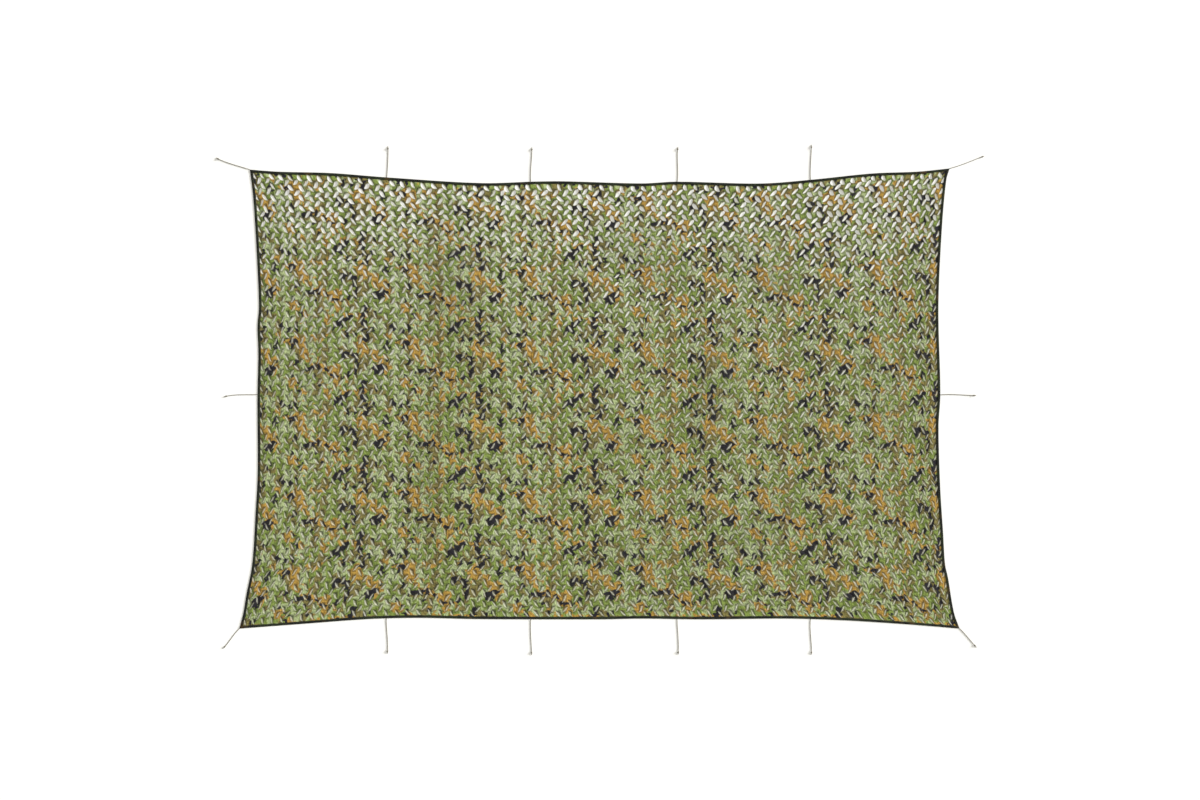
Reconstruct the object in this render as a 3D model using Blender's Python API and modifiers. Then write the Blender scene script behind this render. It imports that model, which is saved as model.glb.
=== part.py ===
"""Leaf-cut camouflage net, about 5 x 3 m, laid out flat, face up, with its ties spread.

The long side runs along X, the short side along Y, and the net lies on z = 0.
Every size is in metres. The pieces are the net's cloth, four strips of binding tape folded
over its edges, and fourteen short ties of cord, each with a stopper knot at its free end.
"""

import math
from collections import namedtuple

import bpy
from mathutils import Vector

# ---------------------------------------------------------------- driving dimensions

CLOTH_THICKNESS = 0.003     # the cloth with its curled leaf edges
TAPE_WIDTH = 0.018          # binding tape that shows on each face
TAPE_THICKNESS = 0.001
TAPE_FOLD = 0.0025          # how far in from the edge the tape starts to turn round it
CLOTH_INSET = 0.004         # from the outside of the fold to the cloth's own edge
GAP = 0.0003                # between two pieces that touch
TIE_SEAT = 0.0006           # from the fold of the tape to the cut start of a tie
CORD_DIAMETER = 0.0045
KNOT_DIAMETER = 0.011
KNOT_LENGTH = 0.017
KNOT_TAIL = 0.007           # cord that sticks out past the knot
CORD_STEP = 2.6             # cord diameters from one point of a tie to the next
SPANS_LONG = 54             # facets of the cloth along the long side
SPANS_SHORT = 36

Corner = namedtuple("Corner", "x y")
Station = namedtuple("Station", "along drawn_in")
Swell = namedtuple("Swell", "x y half_length half_width turn_deg height")
Tie = namedtuple("Tie", "name side along end_x end_y bow_near bow_far")

# The four corners of the bound net, pulled out by their ties.
TOP_LEFT = Corner(-2.377, 1.556)
TOP_RIGHT = Corner(2.380, 1.5640)
BOTTOM_LEFT = Corner(-2.448, -1.5640)
BOTTOM_RIGHT = Corner(2.448, -1.5640)

# Each edge is drawn in from the straight line between its corners, in shallow scallops from
# tie to tie. "along" is the share of the edge, left to right or bottom to top.
TOP_EDGE = (
    Station(0.0, 0.0), Station(0.04, 0.014), Station(0.115, 0.024), Station(0.195, 0.054),
    Station(0.33, 0.094), Station(0.41, 0.084), Station(0.45, 0.083), Station(0.56, 0.098),
    Station(0.61, 0.087), Station(0.73, 0.100), Station(0.80, 0.076), Station(0.89, 0.033),
    Station(0.955, 0.021), Station(1.0, 0.0),
)
BOTTOM_EDGE = (
    Station(0.0, 0.0), Station(0.085, 0.031), Station(0.18, 0.065), Station(0.25, 0.073),
    Station(0.33, 0.065), Station(0.50, 0.063), Station(0.56, 0.068), Station(0.64, 0.063),
    Station(0.76, 0.068), Station(0.84, 0.056), Station(0.93, 0.028), Station(1.0, 0.0),
)
LEFT_EDGE = (
    Station(0.0, 0.0), Station(0.035, 0.025), Station(0.075, 0.043), Station(0.14, 0.077),
    Station(0.25, 0.092), Station(0.34, 0.100), Station(0.50, 0.087), Station(0.60, 0.086),
    Station(0.66, 0.076), Station(0.70, 0.083), Station(0.80, 0.064), Station(0.94, 0.027),
    Station(1.0, 0.0),
)
RIGHT_EDGE = (
    Station(0.0, 0.0), Station(0.035, 0.036), Station(0.11, 0.071), Station(0.14, 0.089),
    Station(0.21, 0.098), Station(0.31, 0.111), Station(0.44, 0.113), Station(0.51, 0.096),
    Station(0.70, 0.096), Station(0.87, 0.061), Station(0.975, 0.024), Station(1.0, 0.0),
)

# Low soft ridges where the net is slack. Everywhere else it lies flat on the floor.
SWELLS = (
    Swell(-0.98, 0.74, 0.66, 0.27, 97.0, 0.019),
    Swell(-1.03, -0.52, 0.86, 0.31, 88.0, 0.026),
    Swell(0.32, 0.98, 0.48, 0.21, -24.0, 0.015),
    Swell(1.16, 0.86, 0.46, 0.20, -38.0, 0.013),
    Swell(0.78, 0.13, 0.62, 0.22, 80.0, 0.017),
    Swell(0.16, -0.26, 0.42, 0.17, 22.0, 0.013),
    Swell(0.22, -1.00, 0.44, 0.19, 16.0, 0.015),
    Swell(1.22, -0.84, 0.46, 0.20, 28.0, 0.014),
    Swell(-1.93, 0.28, 0.52, 0.19, 84.0, 0.011),
    Swell(1.92, 0.02, 0.56, 0.19, 98.0, 0.011),
)

# A tie leaves its side at a share of the edge, and its free end lies at (end_x, end_y). The
# bows are how far the cord lies to the left of the straight line, at one and two thirds.
TIES = (
    Tie("tie_top_left_corner", "top", 0.0, -2.608, 1.636, 0.003, 0.005),
    Tie("tie_top_1", "top", 0.1957, -1.439, 1.714, -0.002, -0.003),
    Tie("tie_top_2", "top", 0.4013, -0.460, 1.707, 0.003, 0.000),
    Tie("tie_top_3", "top", 0.6107, 0.533, 1.710, -0.002, 0.002),
    Tie("tie_top_4", "top", 0.8012, 1.441, 1.724, 0.003, 0.001),
    Tie("tie_top_right_corner", "top", 1.0, 2.615, 1.648, -0.004, -0.002),
    Tie("tie_right", "right", 0.5080, 2.560, 0.020, 0.004, 0.002),
    Tie("tie_bottom_right_corner", "bottom", 1.0, 2.562, -1.692, 0.002, 0.001),
    Tie("tie_bottom_4", "bottom", 0.7929, 1.440, -1.741, -0.003, 0.001),
    Tie("tie_bottom_3", "bottom", 0.6076, 0.534, -1.741, 0.002, 0.004),
    Tie("tie_bottom_2", "bottom", 0.4044, -0.462, -1.744, -0.003, -0.001),
    Tie("tie_bottom_1", "bottom", 0.2038, -1.443, -1.734, 0.001, 0.004),
    Tie("tie_bottom_left_corner", "bottom", 0.0, -2.560, -1.700, -0.002, 0.001),
    Tie("tie_left", "left", 0.5100, -2.553, 0.012, -0.004, -0.007),
)

CAMOUFLAGE_GREEN = ("cloth", (0.205, 0.235, 0.105), 0.86)
BINDING_GREEN = ("binding", (0.030, 0.040, 0.018), 0.80)
CORD_OLIVE = ("cord", (0.085, 0.085, 0.055), 0.72)

# ---------------------------------------------------------------- the outline


def drawn_in(edge, along):
    """How far an edge is drawn in at a share of its length: a smooth curve through its rows."""
    row = 0
    while row < len(edge) - 2 and edge[row + 1].along < along:
        row += 1
    start, end = edge[row], edge[row + 1]
    before = edge[max(row - 1, 0)]
    after = edge[min(row + 2, len(edge) - 1)]
    span = end.along - start.along
    slope_start = (end.drawn_in - before.drawn_in) / (end.along - before.along)
    slope_end = (after.drawn_in - start.drawn_in) / (after.along - start.along)
    t = (along - start.along) / span
    return (
        start.drawn_in * (1 + 2 * t) * (1 - t) ** 2
        + slope_start * span * t * (1 - t) ** 2
        + end.drawn_in * t * t * (3 - 2 * t)
        - slope_end * span * t * t * (1 - t)
    )


def between(start, end, share):
    return Vector((start.x + (end.x - start.x) * share, start.y + (end.y - start.y) * share, 0.0))


def top_edge(u):
    return between(TOP_LEFT, TOP_RIGHT, u) - Vector((0.0, drawn_in(TOP_EDGE, u), 0.0))


def bottom_edge(u):
    return between(BOTTOM_LEFT, BOTTOM_RIGHT, u) + Vector((0.0, drawn_in(BOTTOM_EDGE, u), 0.0))


def left_edge(v):
    return between(BOTTOM_LEFT, TOP_LEFT, v) + Vector((drawn_in(LEFT_EDGE, v), 0.0, 0.0))


def right_edge(v):
    return between(BOTTOM_RIGHT, TOP_RIGHT, v) - Vector((drawn_in(RIGHT_EDGE, v), 0.0, 0.0))


def on_net(u, v):
    """The point at shares u, v of the net's length and width: a patch between the four edges."""
    along_edges = bottom_edge(u) * (1 - v) + top_edge(u) * v
    across_edges = left_edge(v) * (1 - u) + right_edge(v) * u
    low = between(BOTTOM_LEFT, BOTTOM_RIGHT, u) * (1 - v)
    high = between(TOP_LEFT, TOP_RIGHT, u) * v
    return along_edges + across_edges - low - high


def swell_height(x, y):
    """Height of the net's underside above the floor, from the ridges that reach this point."""
    height = 0.0
    for swell in SWELLS:
        turn = math.radians(swell.turn_deg)
        dx, dy = x - swell.x, y - swell.y
        along = (dx * math.cos(turn) + dy * math.sin(turn)) / swell.half_length
        across = (dy * math.cos(turn) - dx * math.sin(turn)) / swell.half_width
        distance = along * along + across * across
        if distance < 1.0:
            height += swell.height * (1.0 - distance) ** 2
    return height


LENGTH = BOTTOM_RIGHT.x - BOTTOM_LEFT.x
WIDTH = TOP_RIGHT.y - BOTTOM_RIGHT.y
EDGE_REST = TAPE_THICKNESS + GAP        # the cloth's underside where the tape passes below it

# ---------------------------------------------------------------- scene, materials, helpers


def clear_scene():
    for obj in list(bpy.data.objects):
        bpy.data.objects.remove(obj)


def new_collection(name):
    collection = bpy.data.collections.new(name)
    bpy.context.scene.collection.children.link(collection)
    return collection


def new_material(name, colour, roughness):
    material = bpy.data.materials.new(name)
    material.use_nodes = True
    shader = material.node_tree.nodes["Principled BSDF"]
    shader.inputs["Base Color"].default_value = (*colour, 1.0)
    shader.inputs["Roughness"].default_value = roughness
    shader.inputs["Metallic"].default_value = 0.0
    return material


def stations(spans, margin, inset):
    """Shares of one side: its inset end, the tape's inner edge, even steps, and the same back."""
    inner = [margin + (1 - 2 * margin) * step / (spans - 2) for step in range(spans - 1)]
    return [inset] + inner + [1 - inset]


def folded_grid(name, columns, rows, place, collection):
    """A grid mesh whose corners are set by place(column, row)."""
    bpy.ops.mesh.primitive_grid_add(
        x_subdivisions=len(columns) - 1, y_subdivisions=len(rows) - 1, size=2.0
    )
    obj = bpy.context.object
    obj.name = name
    obj.data.name = name
    for vertex in obj.data.vertices:
        column = round((vertex.co.x + 1) / 2 * (len(columns) - 1))
        row = round((vertex.co.y + 1) / 2 * (len(rows) - 1))
        vertex.co = place(columns[column], rows[row])
    for holder in list(obj.users_collection):
        holder.objects.unlink(obj)
    collection.objects.link(obj)
    return obj


def thicken(obj, thickness, offset):
    """Turns the open sheet into a solid of the cloth's or the tape's own thickness."""
    solidify = obj.modifiers.new("Thickness", "SOLIDIFY")
    solidify.thickness = thickness
    solidify.offset = offset
    solidify.use_even_offset = True


# ---------------------------------------------------------------- the net's cloth


def make_net_sheet(collection):
    columns = stations(SPANS_LONG, TAPE_WIDTH / LENGTH, CLOTH_INSET / LENGTH)
    rows = stations(SPANS_SHORT, TAPE_WIDTH / WIDTH, CLOTH_INSET / WIDTH)

    def place(u, v):
        point = on_net(u, v)
        from_side = min(u, 1 - u) * LENGTH
        from_end = min(v, 1 - v) * WIDTH
        bound = min(from_side, from_end) < 1.5 * TAPE_WIDTH
        point.z = EDGE_REST if bound else swell_height(point.x, point.y)
        return point

    sheet = folded_grid("net_sheet", columns, rows, place, collection)
    thicken(sheet, CLOTH_THICKNESS, 1.0)
    sheet.data.materials.append(new_material(*CAMOUFLAGE_GREEN))


# ---------------------------------------------------------------- the binding

# The tape's middle surface, from its inner edge on the face, round the cloth, to its inner
# edge underneath, as (distance in from the outside of the fold, height).
LOW_LAYER = TAPE_THICKNESS / 2
HIGH_LAYER = EDGE_REST + CLOTH_THICKNESS + GAP + TAPE_THICKNESS / 2
FOLD_HEIGHT = (LOW_LAYER + HIGH_LAYER) / 2
TAPE_SECTION = (
    (TAPE_WIDTH, HIGH_LAYER),
    (TAPE_FOLD, HIGH_LAYER),
    (TAPE_THICKNESS / 2, FOLD_HEIGHT),
    (TAPE_FOLD, LOW_LAYER),
    (TAPE_WIDTH, LOW_LAYER),
)

# The long strips run from corner to corner, and the short ones butt against them.
Strip = namedtuple("Strip", "edge just_inside spans butt")
BUTT = (TAPE_WIDTH + GAP) / WIDTH
JUST_IN = 0.01
STRIPS = {
    "top": Strip(top_edge, lambda u: on_net(u, 1 - JUST_IN), SPANS_LONG - 2, 0.0),
    "bottom": Strip(bottom_edge, lambda u: on_net(u, JUST_IN), SPANS_LONG - 2, 0.0),
    "left": Strip(left_edge, lambda v: on_net(JUST_IN, v), SPANS_SHORT - 2, BUTT),
    "right": Strip(right_edge, lambda v: on_net(1 - JUST_IN, v), SPANS_SHORT - 2, BUTT),
}


def make_strip(side, material, collection):
    """One strip of tape, folded lengthwise over its edge of the net."""
    strip = STRIPS[side]
    step = (1 - 2 * strip.butt) / strip.spans
    shares = [strip.butt + step * number for number in range(strip.spans + 1)]

    def place(share, fold):
        distance, height = fold
        outside = strip.edge(share)
        inward = (strip.just_inside(share) - outside).normalized()
        point = outside + inward * distance
        point.z = height
        return point

    tape = folded_grid("binding_" + side, shares, TAPE_SECTION, place, collection)
    thicken(tape, TAPE_THICKNESS, 0.0)
    tape.data.materials.append(material)


def make_binding(collection):
    material = new_material(*BINDING_GREEN)
    for side in STRIPS:
        make_strip(side, material, collection)


# ---------------------------------------------------------------- the ties


def on_fold(side, along):
    """The point of a strip's fold at a share of its edge, on the straight facet that is there."""
    strip = STRIPS[side]
    step = (1 - 2 * strip.butt) / strip.spans
    facet = min(int((along - strip.butt) / step), strip.spans - 1)
    start = strip.edge(strip.butt + step * facet)
    end = strip.edge(strip.butt + step * (facet + 1))
    return start.lerp(end, (along - strip.butt) / step - facet)


def tie_radius(from_end):
    """Radius of a tie at a distance from its free end: a tail, the stopper knot, then cord."""
    cord = CORD_DIAMETER / 2
    middle = KNOT_TAIL + KNOT_LENGTH / 2
    offset = abs(from_end - middle) / (KNOT_LENGTH / 2)
    if offset >= 1.0:
        return cord
    return cord + (KNOT_DIAMETER / 2 - cord) * math.sqrt(1 - offset ** 4)


def tie_route(tie):
    """Points of a tie from the tape's fold to its free end, lying on the floor, with its radii.

    The line is a cubic through the fold, the two bowed points and the free end.
    """
    end = Vector((tie.end_x, tie.end_y, 0.0))
    fold = on_fold(tie.side, tie.along)
    start = fold + (end - fold).normalized() * TIE_SEAT
    run = end - start
    sideways = Vector((-run.y, run.x, 0.0)).normalized()
    count = math.ceil(run.length / (CORD_STEP * CORD_DIAMETER))
    route = []
    for step in range(count + 1):
        t = step / count
        bow = 13.5 * t * (1 - t) * ((2 / 3 - t) * tie.bow_near + (t - 1 / 3) * tie.bow_far)
        radius = tie_radius(run.length * (1 - t))
        point = start + run * t + sideways * bow
        from_fold = FOLD_HEIGHT - (FOLD_HEIGHT - CORD_DIAMETER / 2 - GAP) * min(1.0, t * 5)
        point.z = max(radius + GAP, from_fold)
        route.append((point, radius))
    return route


def make_tie(tie, material, collection):
    curve = bpy.data.curves.new(tie.name, "CURVE")
    curve.dimensions = "3D"
    curve.bevel_depth = CORD_DIAMETER / 2
    curve.bevel_resolution = 2
    curve.use_fill_caps = True
    route = tie_route(tie)
    spline = curve.splines.new("POLY")
    spline.points.add(len(route) - 1)
    for control, (point, radius) in zip(spline.points, route):
        control.co = (*point, 1.0)
        control.radius = radius / (CORD_DIAMETER / 2)
    obj = bpy.data.objects.new(tie.name, curve)
    obj.data.materials.append(material)
    collection.objects.link(obj)


def make_ties(collection):
    material = new_material(*CORD_OLIVE)
    for tie in TIES:
        make_tie(tie, material, collection)


# ---------------------------------------------------------------- build


def main():
    clear_scene()
    net = new_collection("camouflage_net")
    make_net_sheet(net)
    make_binding(net)
    make_ties(net)


main()
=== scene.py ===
# %% [markdown]
# # A leaf-cut camouflage net
# A camouflage net of this kind is one sheet of printed cloth with thousands of small slits in
# it. Pulled sideways, every slit opens to a leaf-shaped hole and the cloth between the holes
# turns out of its plane, so that light catches it in flecks. A dark tape binds the edge, and
# short cords with a knot tie the net down. It lies flat and face up on a pale floor.
#
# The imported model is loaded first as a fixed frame: metres, long side along X, floor at z = 0.

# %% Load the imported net
import math
from collections import namedtuple

import bmesh
import bpy
from mathutils import Matrix, Vector


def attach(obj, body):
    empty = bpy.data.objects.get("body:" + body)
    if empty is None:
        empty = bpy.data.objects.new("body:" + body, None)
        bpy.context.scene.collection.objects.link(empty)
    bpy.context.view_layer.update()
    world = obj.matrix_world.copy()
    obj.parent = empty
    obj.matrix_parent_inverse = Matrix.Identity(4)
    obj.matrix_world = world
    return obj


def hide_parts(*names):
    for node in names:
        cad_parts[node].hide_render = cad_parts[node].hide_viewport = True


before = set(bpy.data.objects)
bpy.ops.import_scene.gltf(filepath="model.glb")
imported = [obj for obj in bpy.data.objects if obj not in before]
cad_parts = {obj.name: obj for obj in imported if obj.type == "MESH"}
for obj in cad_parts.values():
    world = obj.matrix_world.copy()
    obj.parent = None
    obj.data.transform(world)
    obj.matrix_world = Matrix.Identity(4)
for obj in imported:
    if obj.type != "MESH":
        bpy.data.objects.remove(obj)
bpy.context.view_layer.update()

# %% [markdown]
# ## The camera
# The photo looks straight at the net's face, so the camera looks straight down. Taken as a net
# that is sold as 5 x 3 m, it gives the photo a scale of 6.8 mm to a pixel. So the whole picture
# is 8.16 m wide, and its middle falls a little off the net's. A long lens from high up keeps
# the view flat.

# %% Camera straight above
PICTURE_WIDTH_M = 8.16
PICTURE_MIDDLE = (0.0034, -0.0102)
CAMERA_HEIGHT = 16.0
SENSOR_WIDTH_MM = 36.0

camera_data = bpy.data.cameras.new("camera")
camera_data.sensor_width = SENSOR_WIDTH_MM
camera_data.lens = SENSOR_WIDTH_MM * CAMERA_HEIGHT / PICTURE_WIDTH_M
camera = bpy.data.objects.new("camera", camera_data)
camera.location = (*PICTURE_MIDDLE, CAMERA_HEIGHT)
bpy.context.scene.collection.objects.link(camera)
bpy.context.scene.camera = camera
bpy.context.scene.view_settings.view_transform = "Standard"
print("lens:", round(camera_data.lens, 1), "mm")

# %% [markdown]
# ## Helpers for node trees
# A material and a Geometry Nodes tree are both built by adding nodes, setting them and linking
# them. One small function does that for every kind of node, so that each tree below reads as a
# list of its steps. Colours are written as they look on a screen and turned to linear light.

# %% One function adds a node, one turns colours to linear


def add_node(tree, kind, settings=None, links=None):
    """Adds a node, sets its properties, and gives its inputs values or links."""
    node = tree.nodes.new(kind)
    for name, value in (settings or {}).items():
        setattr(node, name, value)
    for socket, value in (links or {}).items():
        for one in value if isinstance(value, list) else [value]:
            if isinstance(one, bpy.types.NodeSocket):
                tree.links.new(one, node.inputs[socket])
            else:
                node.inputs[socket].default_value = one
    return node


def linear(hex_colour):
    """An sRGB hex colour as linear RGBA."""
    parts = [int(hex_colour[i : i + 2], 16) / 255 for i in (1, 3, 5)]
    curve = [c / 12.92 if c <= 0.04045 else ((c + 0.055) / 1.055) ** 2.4 for c in parts]
    return (*curve, 1.0)


# %% A few more start, end and run a Geometry Nodes tree, and keep its result as a plain mesh


def new_tree(name, inputs):
    """A Geometry Nodes tree with named inputs, given as {name: socket type}."""
    tree = bpy.data.node_groups.new(name, "GeometryNodeTree")
    tree.interface.new_socket("Geometry", in_out="INPUT", socket_type="NodeSocketGeometry")
    for label, kind in inputs.items():
        tree.interface.new_socket(label, in_out="INPUT", socket_type="NodeSocket" + kind)
    tree.interface.new_socket("Geometry", in_out="OUTPUT", socket_type="NodeSocketGeometry")
    start = tree.nodes.new("NodeGroupInput").outputs
    end = tree.nodes.new("NodeGroupOutput").inputs
    return tree, start, end


def end_tree(tree, end, geometry, finish):
    """Smooths the geometry, gives it its material, and makes it the tree's result."""
    smooth = add_node(tree, "GeometryNodeSetShadeSmooth", {}, {"Geometry": geometry}).outputs[0]
    dressed = add_node(
        tree, "GeometryNodeSetMaterial", {}, {"Geometry": smooth, "Material": finish},
    ).outputs[0]
    tree.links.new(dressed, end["Geometry"])


def with_modifiers(obj):
    """The mesh that an object's modifiers make of it."""
    bpy.context.view_layer.update()
    evaluated = obj.evaluated_get(bpy.context.evaluated_depsgraph_get())
    return bpy.data.meshes.new_from_object(evaluated)


def grow(name, source, tree, values):
    """Runs the tree on a source object and returns the result as a new plain mesh object."""
    modifier = source.modifiers.new(tree.name, "NODES")
    modifier.node_group = tree
    for item in tree.interface.items_tree:
        if item.in_out == "INPUT" and item.name in values:
            modifier[item.identifier] = values[item.name]
    mesh = with_modifiers(source)
    mesh.name = name
    source.modifiers.remove(modifier)
    piece = bpy.data.objects.new(name, mesh)
    bpy.context.scene.collection.objects.link(piece)
    return piece


def mesh_object(name, points, faces):
    """A mesh object from points and faces, at the origin."""
    mesh = bpy.data.meshes.new(name)
    mesh.from_pydata(points, [], faces)
    mesh.update()
    obj = bpy.data.objects.new(name, mesh)
    bpy.context.scene.collection.objects.link(obj)
    return obj


def triangles(obj):
    """How many triangles a mesh object has."""
    return sum(len(face.vertices) - 2 for face in obj.data.polygons)


# %% [markdown]
# ## The net's outline
# The fourteen ties pull the edge out and the cloth between them draws in, so every side is a
# row of shallow scallops. The outline is the same as in the solid model: four corners, and for
# each side a short table of how far it is drawn in. Any point of the net is then a blend of the
# four sides, and ten low swells say where it lies slack and stands a little off the floor.

# %% Corners and sides
Corner = namedtuple("Corner", "x y")
Station = namedtuple("Station", "along drawn_in")

TOP_LEFT = Corner(-2.377, 1.556)
TOP_RIGHT = Corner(2.380, 1.5640)
BOTTOM_LEFT = Corner(-2.448, -1.5640)
BOTTOM_RIGHT = Corner(2.448, -1.5640)

TOP_EDGE = (
    Station(0.0, 0.0), Station(0.04, 0.014), Station(0.115, 0.024), Station(0.195, 0.054),
    Station(0.33, 0.094), Station(0.41, 0.084), Station(0.45, 0.083), Station(0.56, 0.098),
    Station(0.61, 0.087), Station(0.73, 0.100), Station(0.80, 0.076), Station(0.89, 0.033),
    Station(0.955, 0.021), Station(1.0, 0.0),
)
BOTTOM_EDGE = (
    Station(0.0, 0.0), Station(0.085, 0.031), Station(0.18, 0.065), Station(0.25, 0.073),
    Station(0.33, 0.065), Station(0.50, 0.063), Station(0.56, 0.068), Station(0.64, 0.063),
    Station(0.76, 0.068), Station(0.84, 0.056), Station(0.93, 0.028), Station(1.0, 0.0),
)
LEFT_EDGE = (
    Station(0.0, 0.0), Station(0.035, 0.025), Station(0.075, 0.043), Station(0.14, 0.077),
    Station(0.25, 0.092), Station(0.34, 0.100), Station(0.50, 0.087), Station(0.60, 0.086),
    Station(0.66, 0.076), Station(0.70, 0.083), Station(0.80, 0.064), Station(0.94, 0.027),
    Station(1.0, 0.0),
)
RIGHT_EDGE = (
    Station(0.0, 0.0), Station(0.035, 0.036), Station(0.11, 0.071), Station(0.14, 0.089),
    Station(0.21, 0.098), Station(0.31, 0.111), Station(0.44, 0.113), Station(0.51, 0.096),
    Station(0.70, 0.096), Station(0.87, 0.061), Station(0.975, 0.024), Station(1.0, 0.0),
)
LENGTH = BOTTOM_RIGHT.x - BOTTOM_LEFT.x
WIDTH = TOP_RIGHT.y - BOTTOM_RIGHT.y


def through(rows, along):
    """A smooth curve through a table of (share of the way, value) rows."""
    row = 0
    while row < len(rows) - 2 and rows[row + 1][0] < along:
        row += 1
    start, end = rows[row], rows[row + 1]
    before = rows[max(row - 1, 0)]
    after = rows[min(row + 2, len(rows) - 1)]
    span = end[0] - start[0]
    slope_start = (end[1] - before[1]) / (end[0] - before[0])
    slope_end = (after[1] - start[1]) / (after[0] - start[0])
    t = (along - start[0]) / span
    return (
        start[1] * (1 + 2 * t) * (1 - t) ** 2
        + slope_start * span * t * (1 - t) ** 2
        + end[1] * t * t * (3 - 2 * t)
        - slope_end * span * t * t * (1 - t)
    )


def between(start, end, share):
    """A share of the way along the straight line from one corner to another."""
    return Vector((start.x + (end.x - start.x) * share, start.y + (end.y - start.y) * share, 0.0))


def top_edge(u):
    return between(TOP_LEFT, TOP_RIGHT, u) - Vector((0.0, through(TOP_EDGE, u), 0.0))


def bottom_edge(u):
    return between(BOTTOM_LEFT, BOTTOM_RIGHT, u) + Vector((0.0, through(BOTTOM_EDGE, u), 0.0))


def left_edge(v):
    return between(BOTTOM_LEFT, TOP_LEFT, v) + Vector((through(LEFT_EDGE, v), 0.0, 0.0))


def right_edge(v):
    return between(BOTTOM_RIGHT, TOP_RIGHT, v) - Vector((through(RIGHT_EDGE, v), 0.0, 0.0))


def on_net(u, v):
    """The point at shares u, v of the net's length and width."""
    along_edges = bottom_edge(u) * (1 - v) + top_edge(u) * v
    across_edges = left_edge(v) * (1 - u) + right_edge(v) * u
    low = between(BOTTOM_LEFT, BOTTOM_RIGHT, u) * (1 - v)
    high = between(TOP_LEFT, TOP_RIGHT, u) * v
    return along_edges + across_edges - low - high


print("middle of the net:", on_net(0.5, 0.5).to_tuple(3))

# %% Low swells
Swell = namedtuple("Swell", "x y half_length half_width turn_deg height")
SWELLS = (
    Swell(-0.98, 0.74, 0.66, 0.27, 97.0, 0.019),
    Swell(-1.03, -0.52, 0.86, 0.31, 88.0, 0.026),
    Swell(0.32, 0.98, 0.48, 0.21, -24.0, 0.015),
    Swell(1.16, 0.86, 0.46, 0.20, -38.0, 0.013),
    Swell(0.78, 0.13, 0.62, 0.22, 80.0, 0.017),
    Swell(0.16, -0.26, 0.42, 0.17, 22.0, 0.013),
    Swell(0.22, -1.00, 0.44, 0.19, 16.0, 0.015),
    Swell(1.22, -0.84, 0.46, 0.20, 28.0, 0.014),
    Swell(-1.93, 0.28, 0.52, 0.19, 84.0, 0.011),
    Swell(1.92, 0.02, 0.56, 0.19, 98.0, 0.011),
)


def mound(zones, x, y):
    """Sum of soft oval bumps: each row's last value at its middle, nothing past its rim."""
    total = 0.0
    for zone in zones:
        turn = math.radians(zone.turn_deg)
        dx, dy = x - zone.x, y - zone.y
        along = (dx * math.cos(turn) + dy * math.sin(turn)) / zone.half_length
        across = (dy * math.cos(turn) - dx * math.sin(turn)) / zone.half_width
        distance = along * along + across * across
        if distance < 1.0:
            total += zone[-1] * (1.0 - distance) ** 2
    return total


# %% [markdown]
# ## Floor and light
# A white studio floor fills the picture. A dim even sky and a broad lamp overhead light it
# through every hole of the net, and a low lamp from the upper right gives the strips of cloth
# that turn towards it a light side and the others a dark one.

# %% Floor and lights


def material(name, roughness):
    """A new material with one Principled shader; returns it with its tree and shader."""
    made = bpy.data.materials.new(name)
    made.use_nodes = True
    shader = made.node_tree.nodes["Principled BSDF"]
    shader.inputs["Roughness"].default_value = roughness
    return made, made.node_tree, shader


FLOOR_SIZE = 90.0
FLOOR_DROP = 0.0004         # keeps the floor's face clear of what lies on it at z = 0

# Board painted matt white: no grain and hardly a shine, so that it reads as plain paper.
white_board, _, board_shader = material("white_painted_board", 0.9)
board_shader.inputs["Base Color"].default_value = linear("#F4F4F3")
board_shader.inputs["Specular IOR Level"].default_value = 0.2

half = FLOOR_SIZE / 2
floor = mesh_object(
    "floor",
    [(-half, -half, -FLOOR_DROP), (half, -half, -FLOOR_DROP),
     (half, half, -FLOOR_DROP), (-half, half, -FLOOR_DROP)],
    [(0, 1, 2, 3)],
)
floor.data.materials.append(white_board)

SKY_STRENGTH = 0.22
SKY_COLOUR = (1.0, 0.98, 0.90, 1.0)
Lamp = namedtuple("Lamp", "name strength colour towards softness_deg")
LAMPS = (
    Lamp("overhead", 1.42, (1.0, 0.985, 0.93), Vector((-0.10, 0.05, 1.0)), 35.0),
    Lamp("low_right", 4.3, (1.0, 1.0, 1.0), Vector((1.0, 0.42, 0.45)), 22.0),
)

world = bpy.data.worlds.new("studio")
world.use_nodes = True
bpy.context.scene.world = world
sky = world.node_tree.nodes["Background"]
sky.inputs["Color"].default_value = SKY_COLOUR
sky.inputs["Strength"].default_value = SKY_STRENGTH

for lamp in LAMPS:
    lamp_data = bpy.data.lights.new(lamp.name, "SUN")
    lamp_data.energy = lamp.strength
    lamp_data.color = lamp.colour
    lamp_data.angle = math.radians(lamp.softness_deg)
    lamp_object = bpy.data.objects.new(lamp.name, lamp_data)
    lamp_object.rotation_euler = lamp.towards.to_track_quat("Z", "Y").to_euler()
    bpy.context.scene.collection.objects.link(lamp_object)

# %% [markdown]
# ## The tie cords
# Each tie is a short length of thin braided cord that starts at the edge and ends in a knot, so
# that it can't fray. It lies on the floor in almost a straight line. A braid's skin is two sets
# of strands that cross, so the tree sweeps a round section along the route and then raises the
# skin by a crossing wave, which needs far fewer faces than single strands would.

# %% Where the ties run

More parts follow.
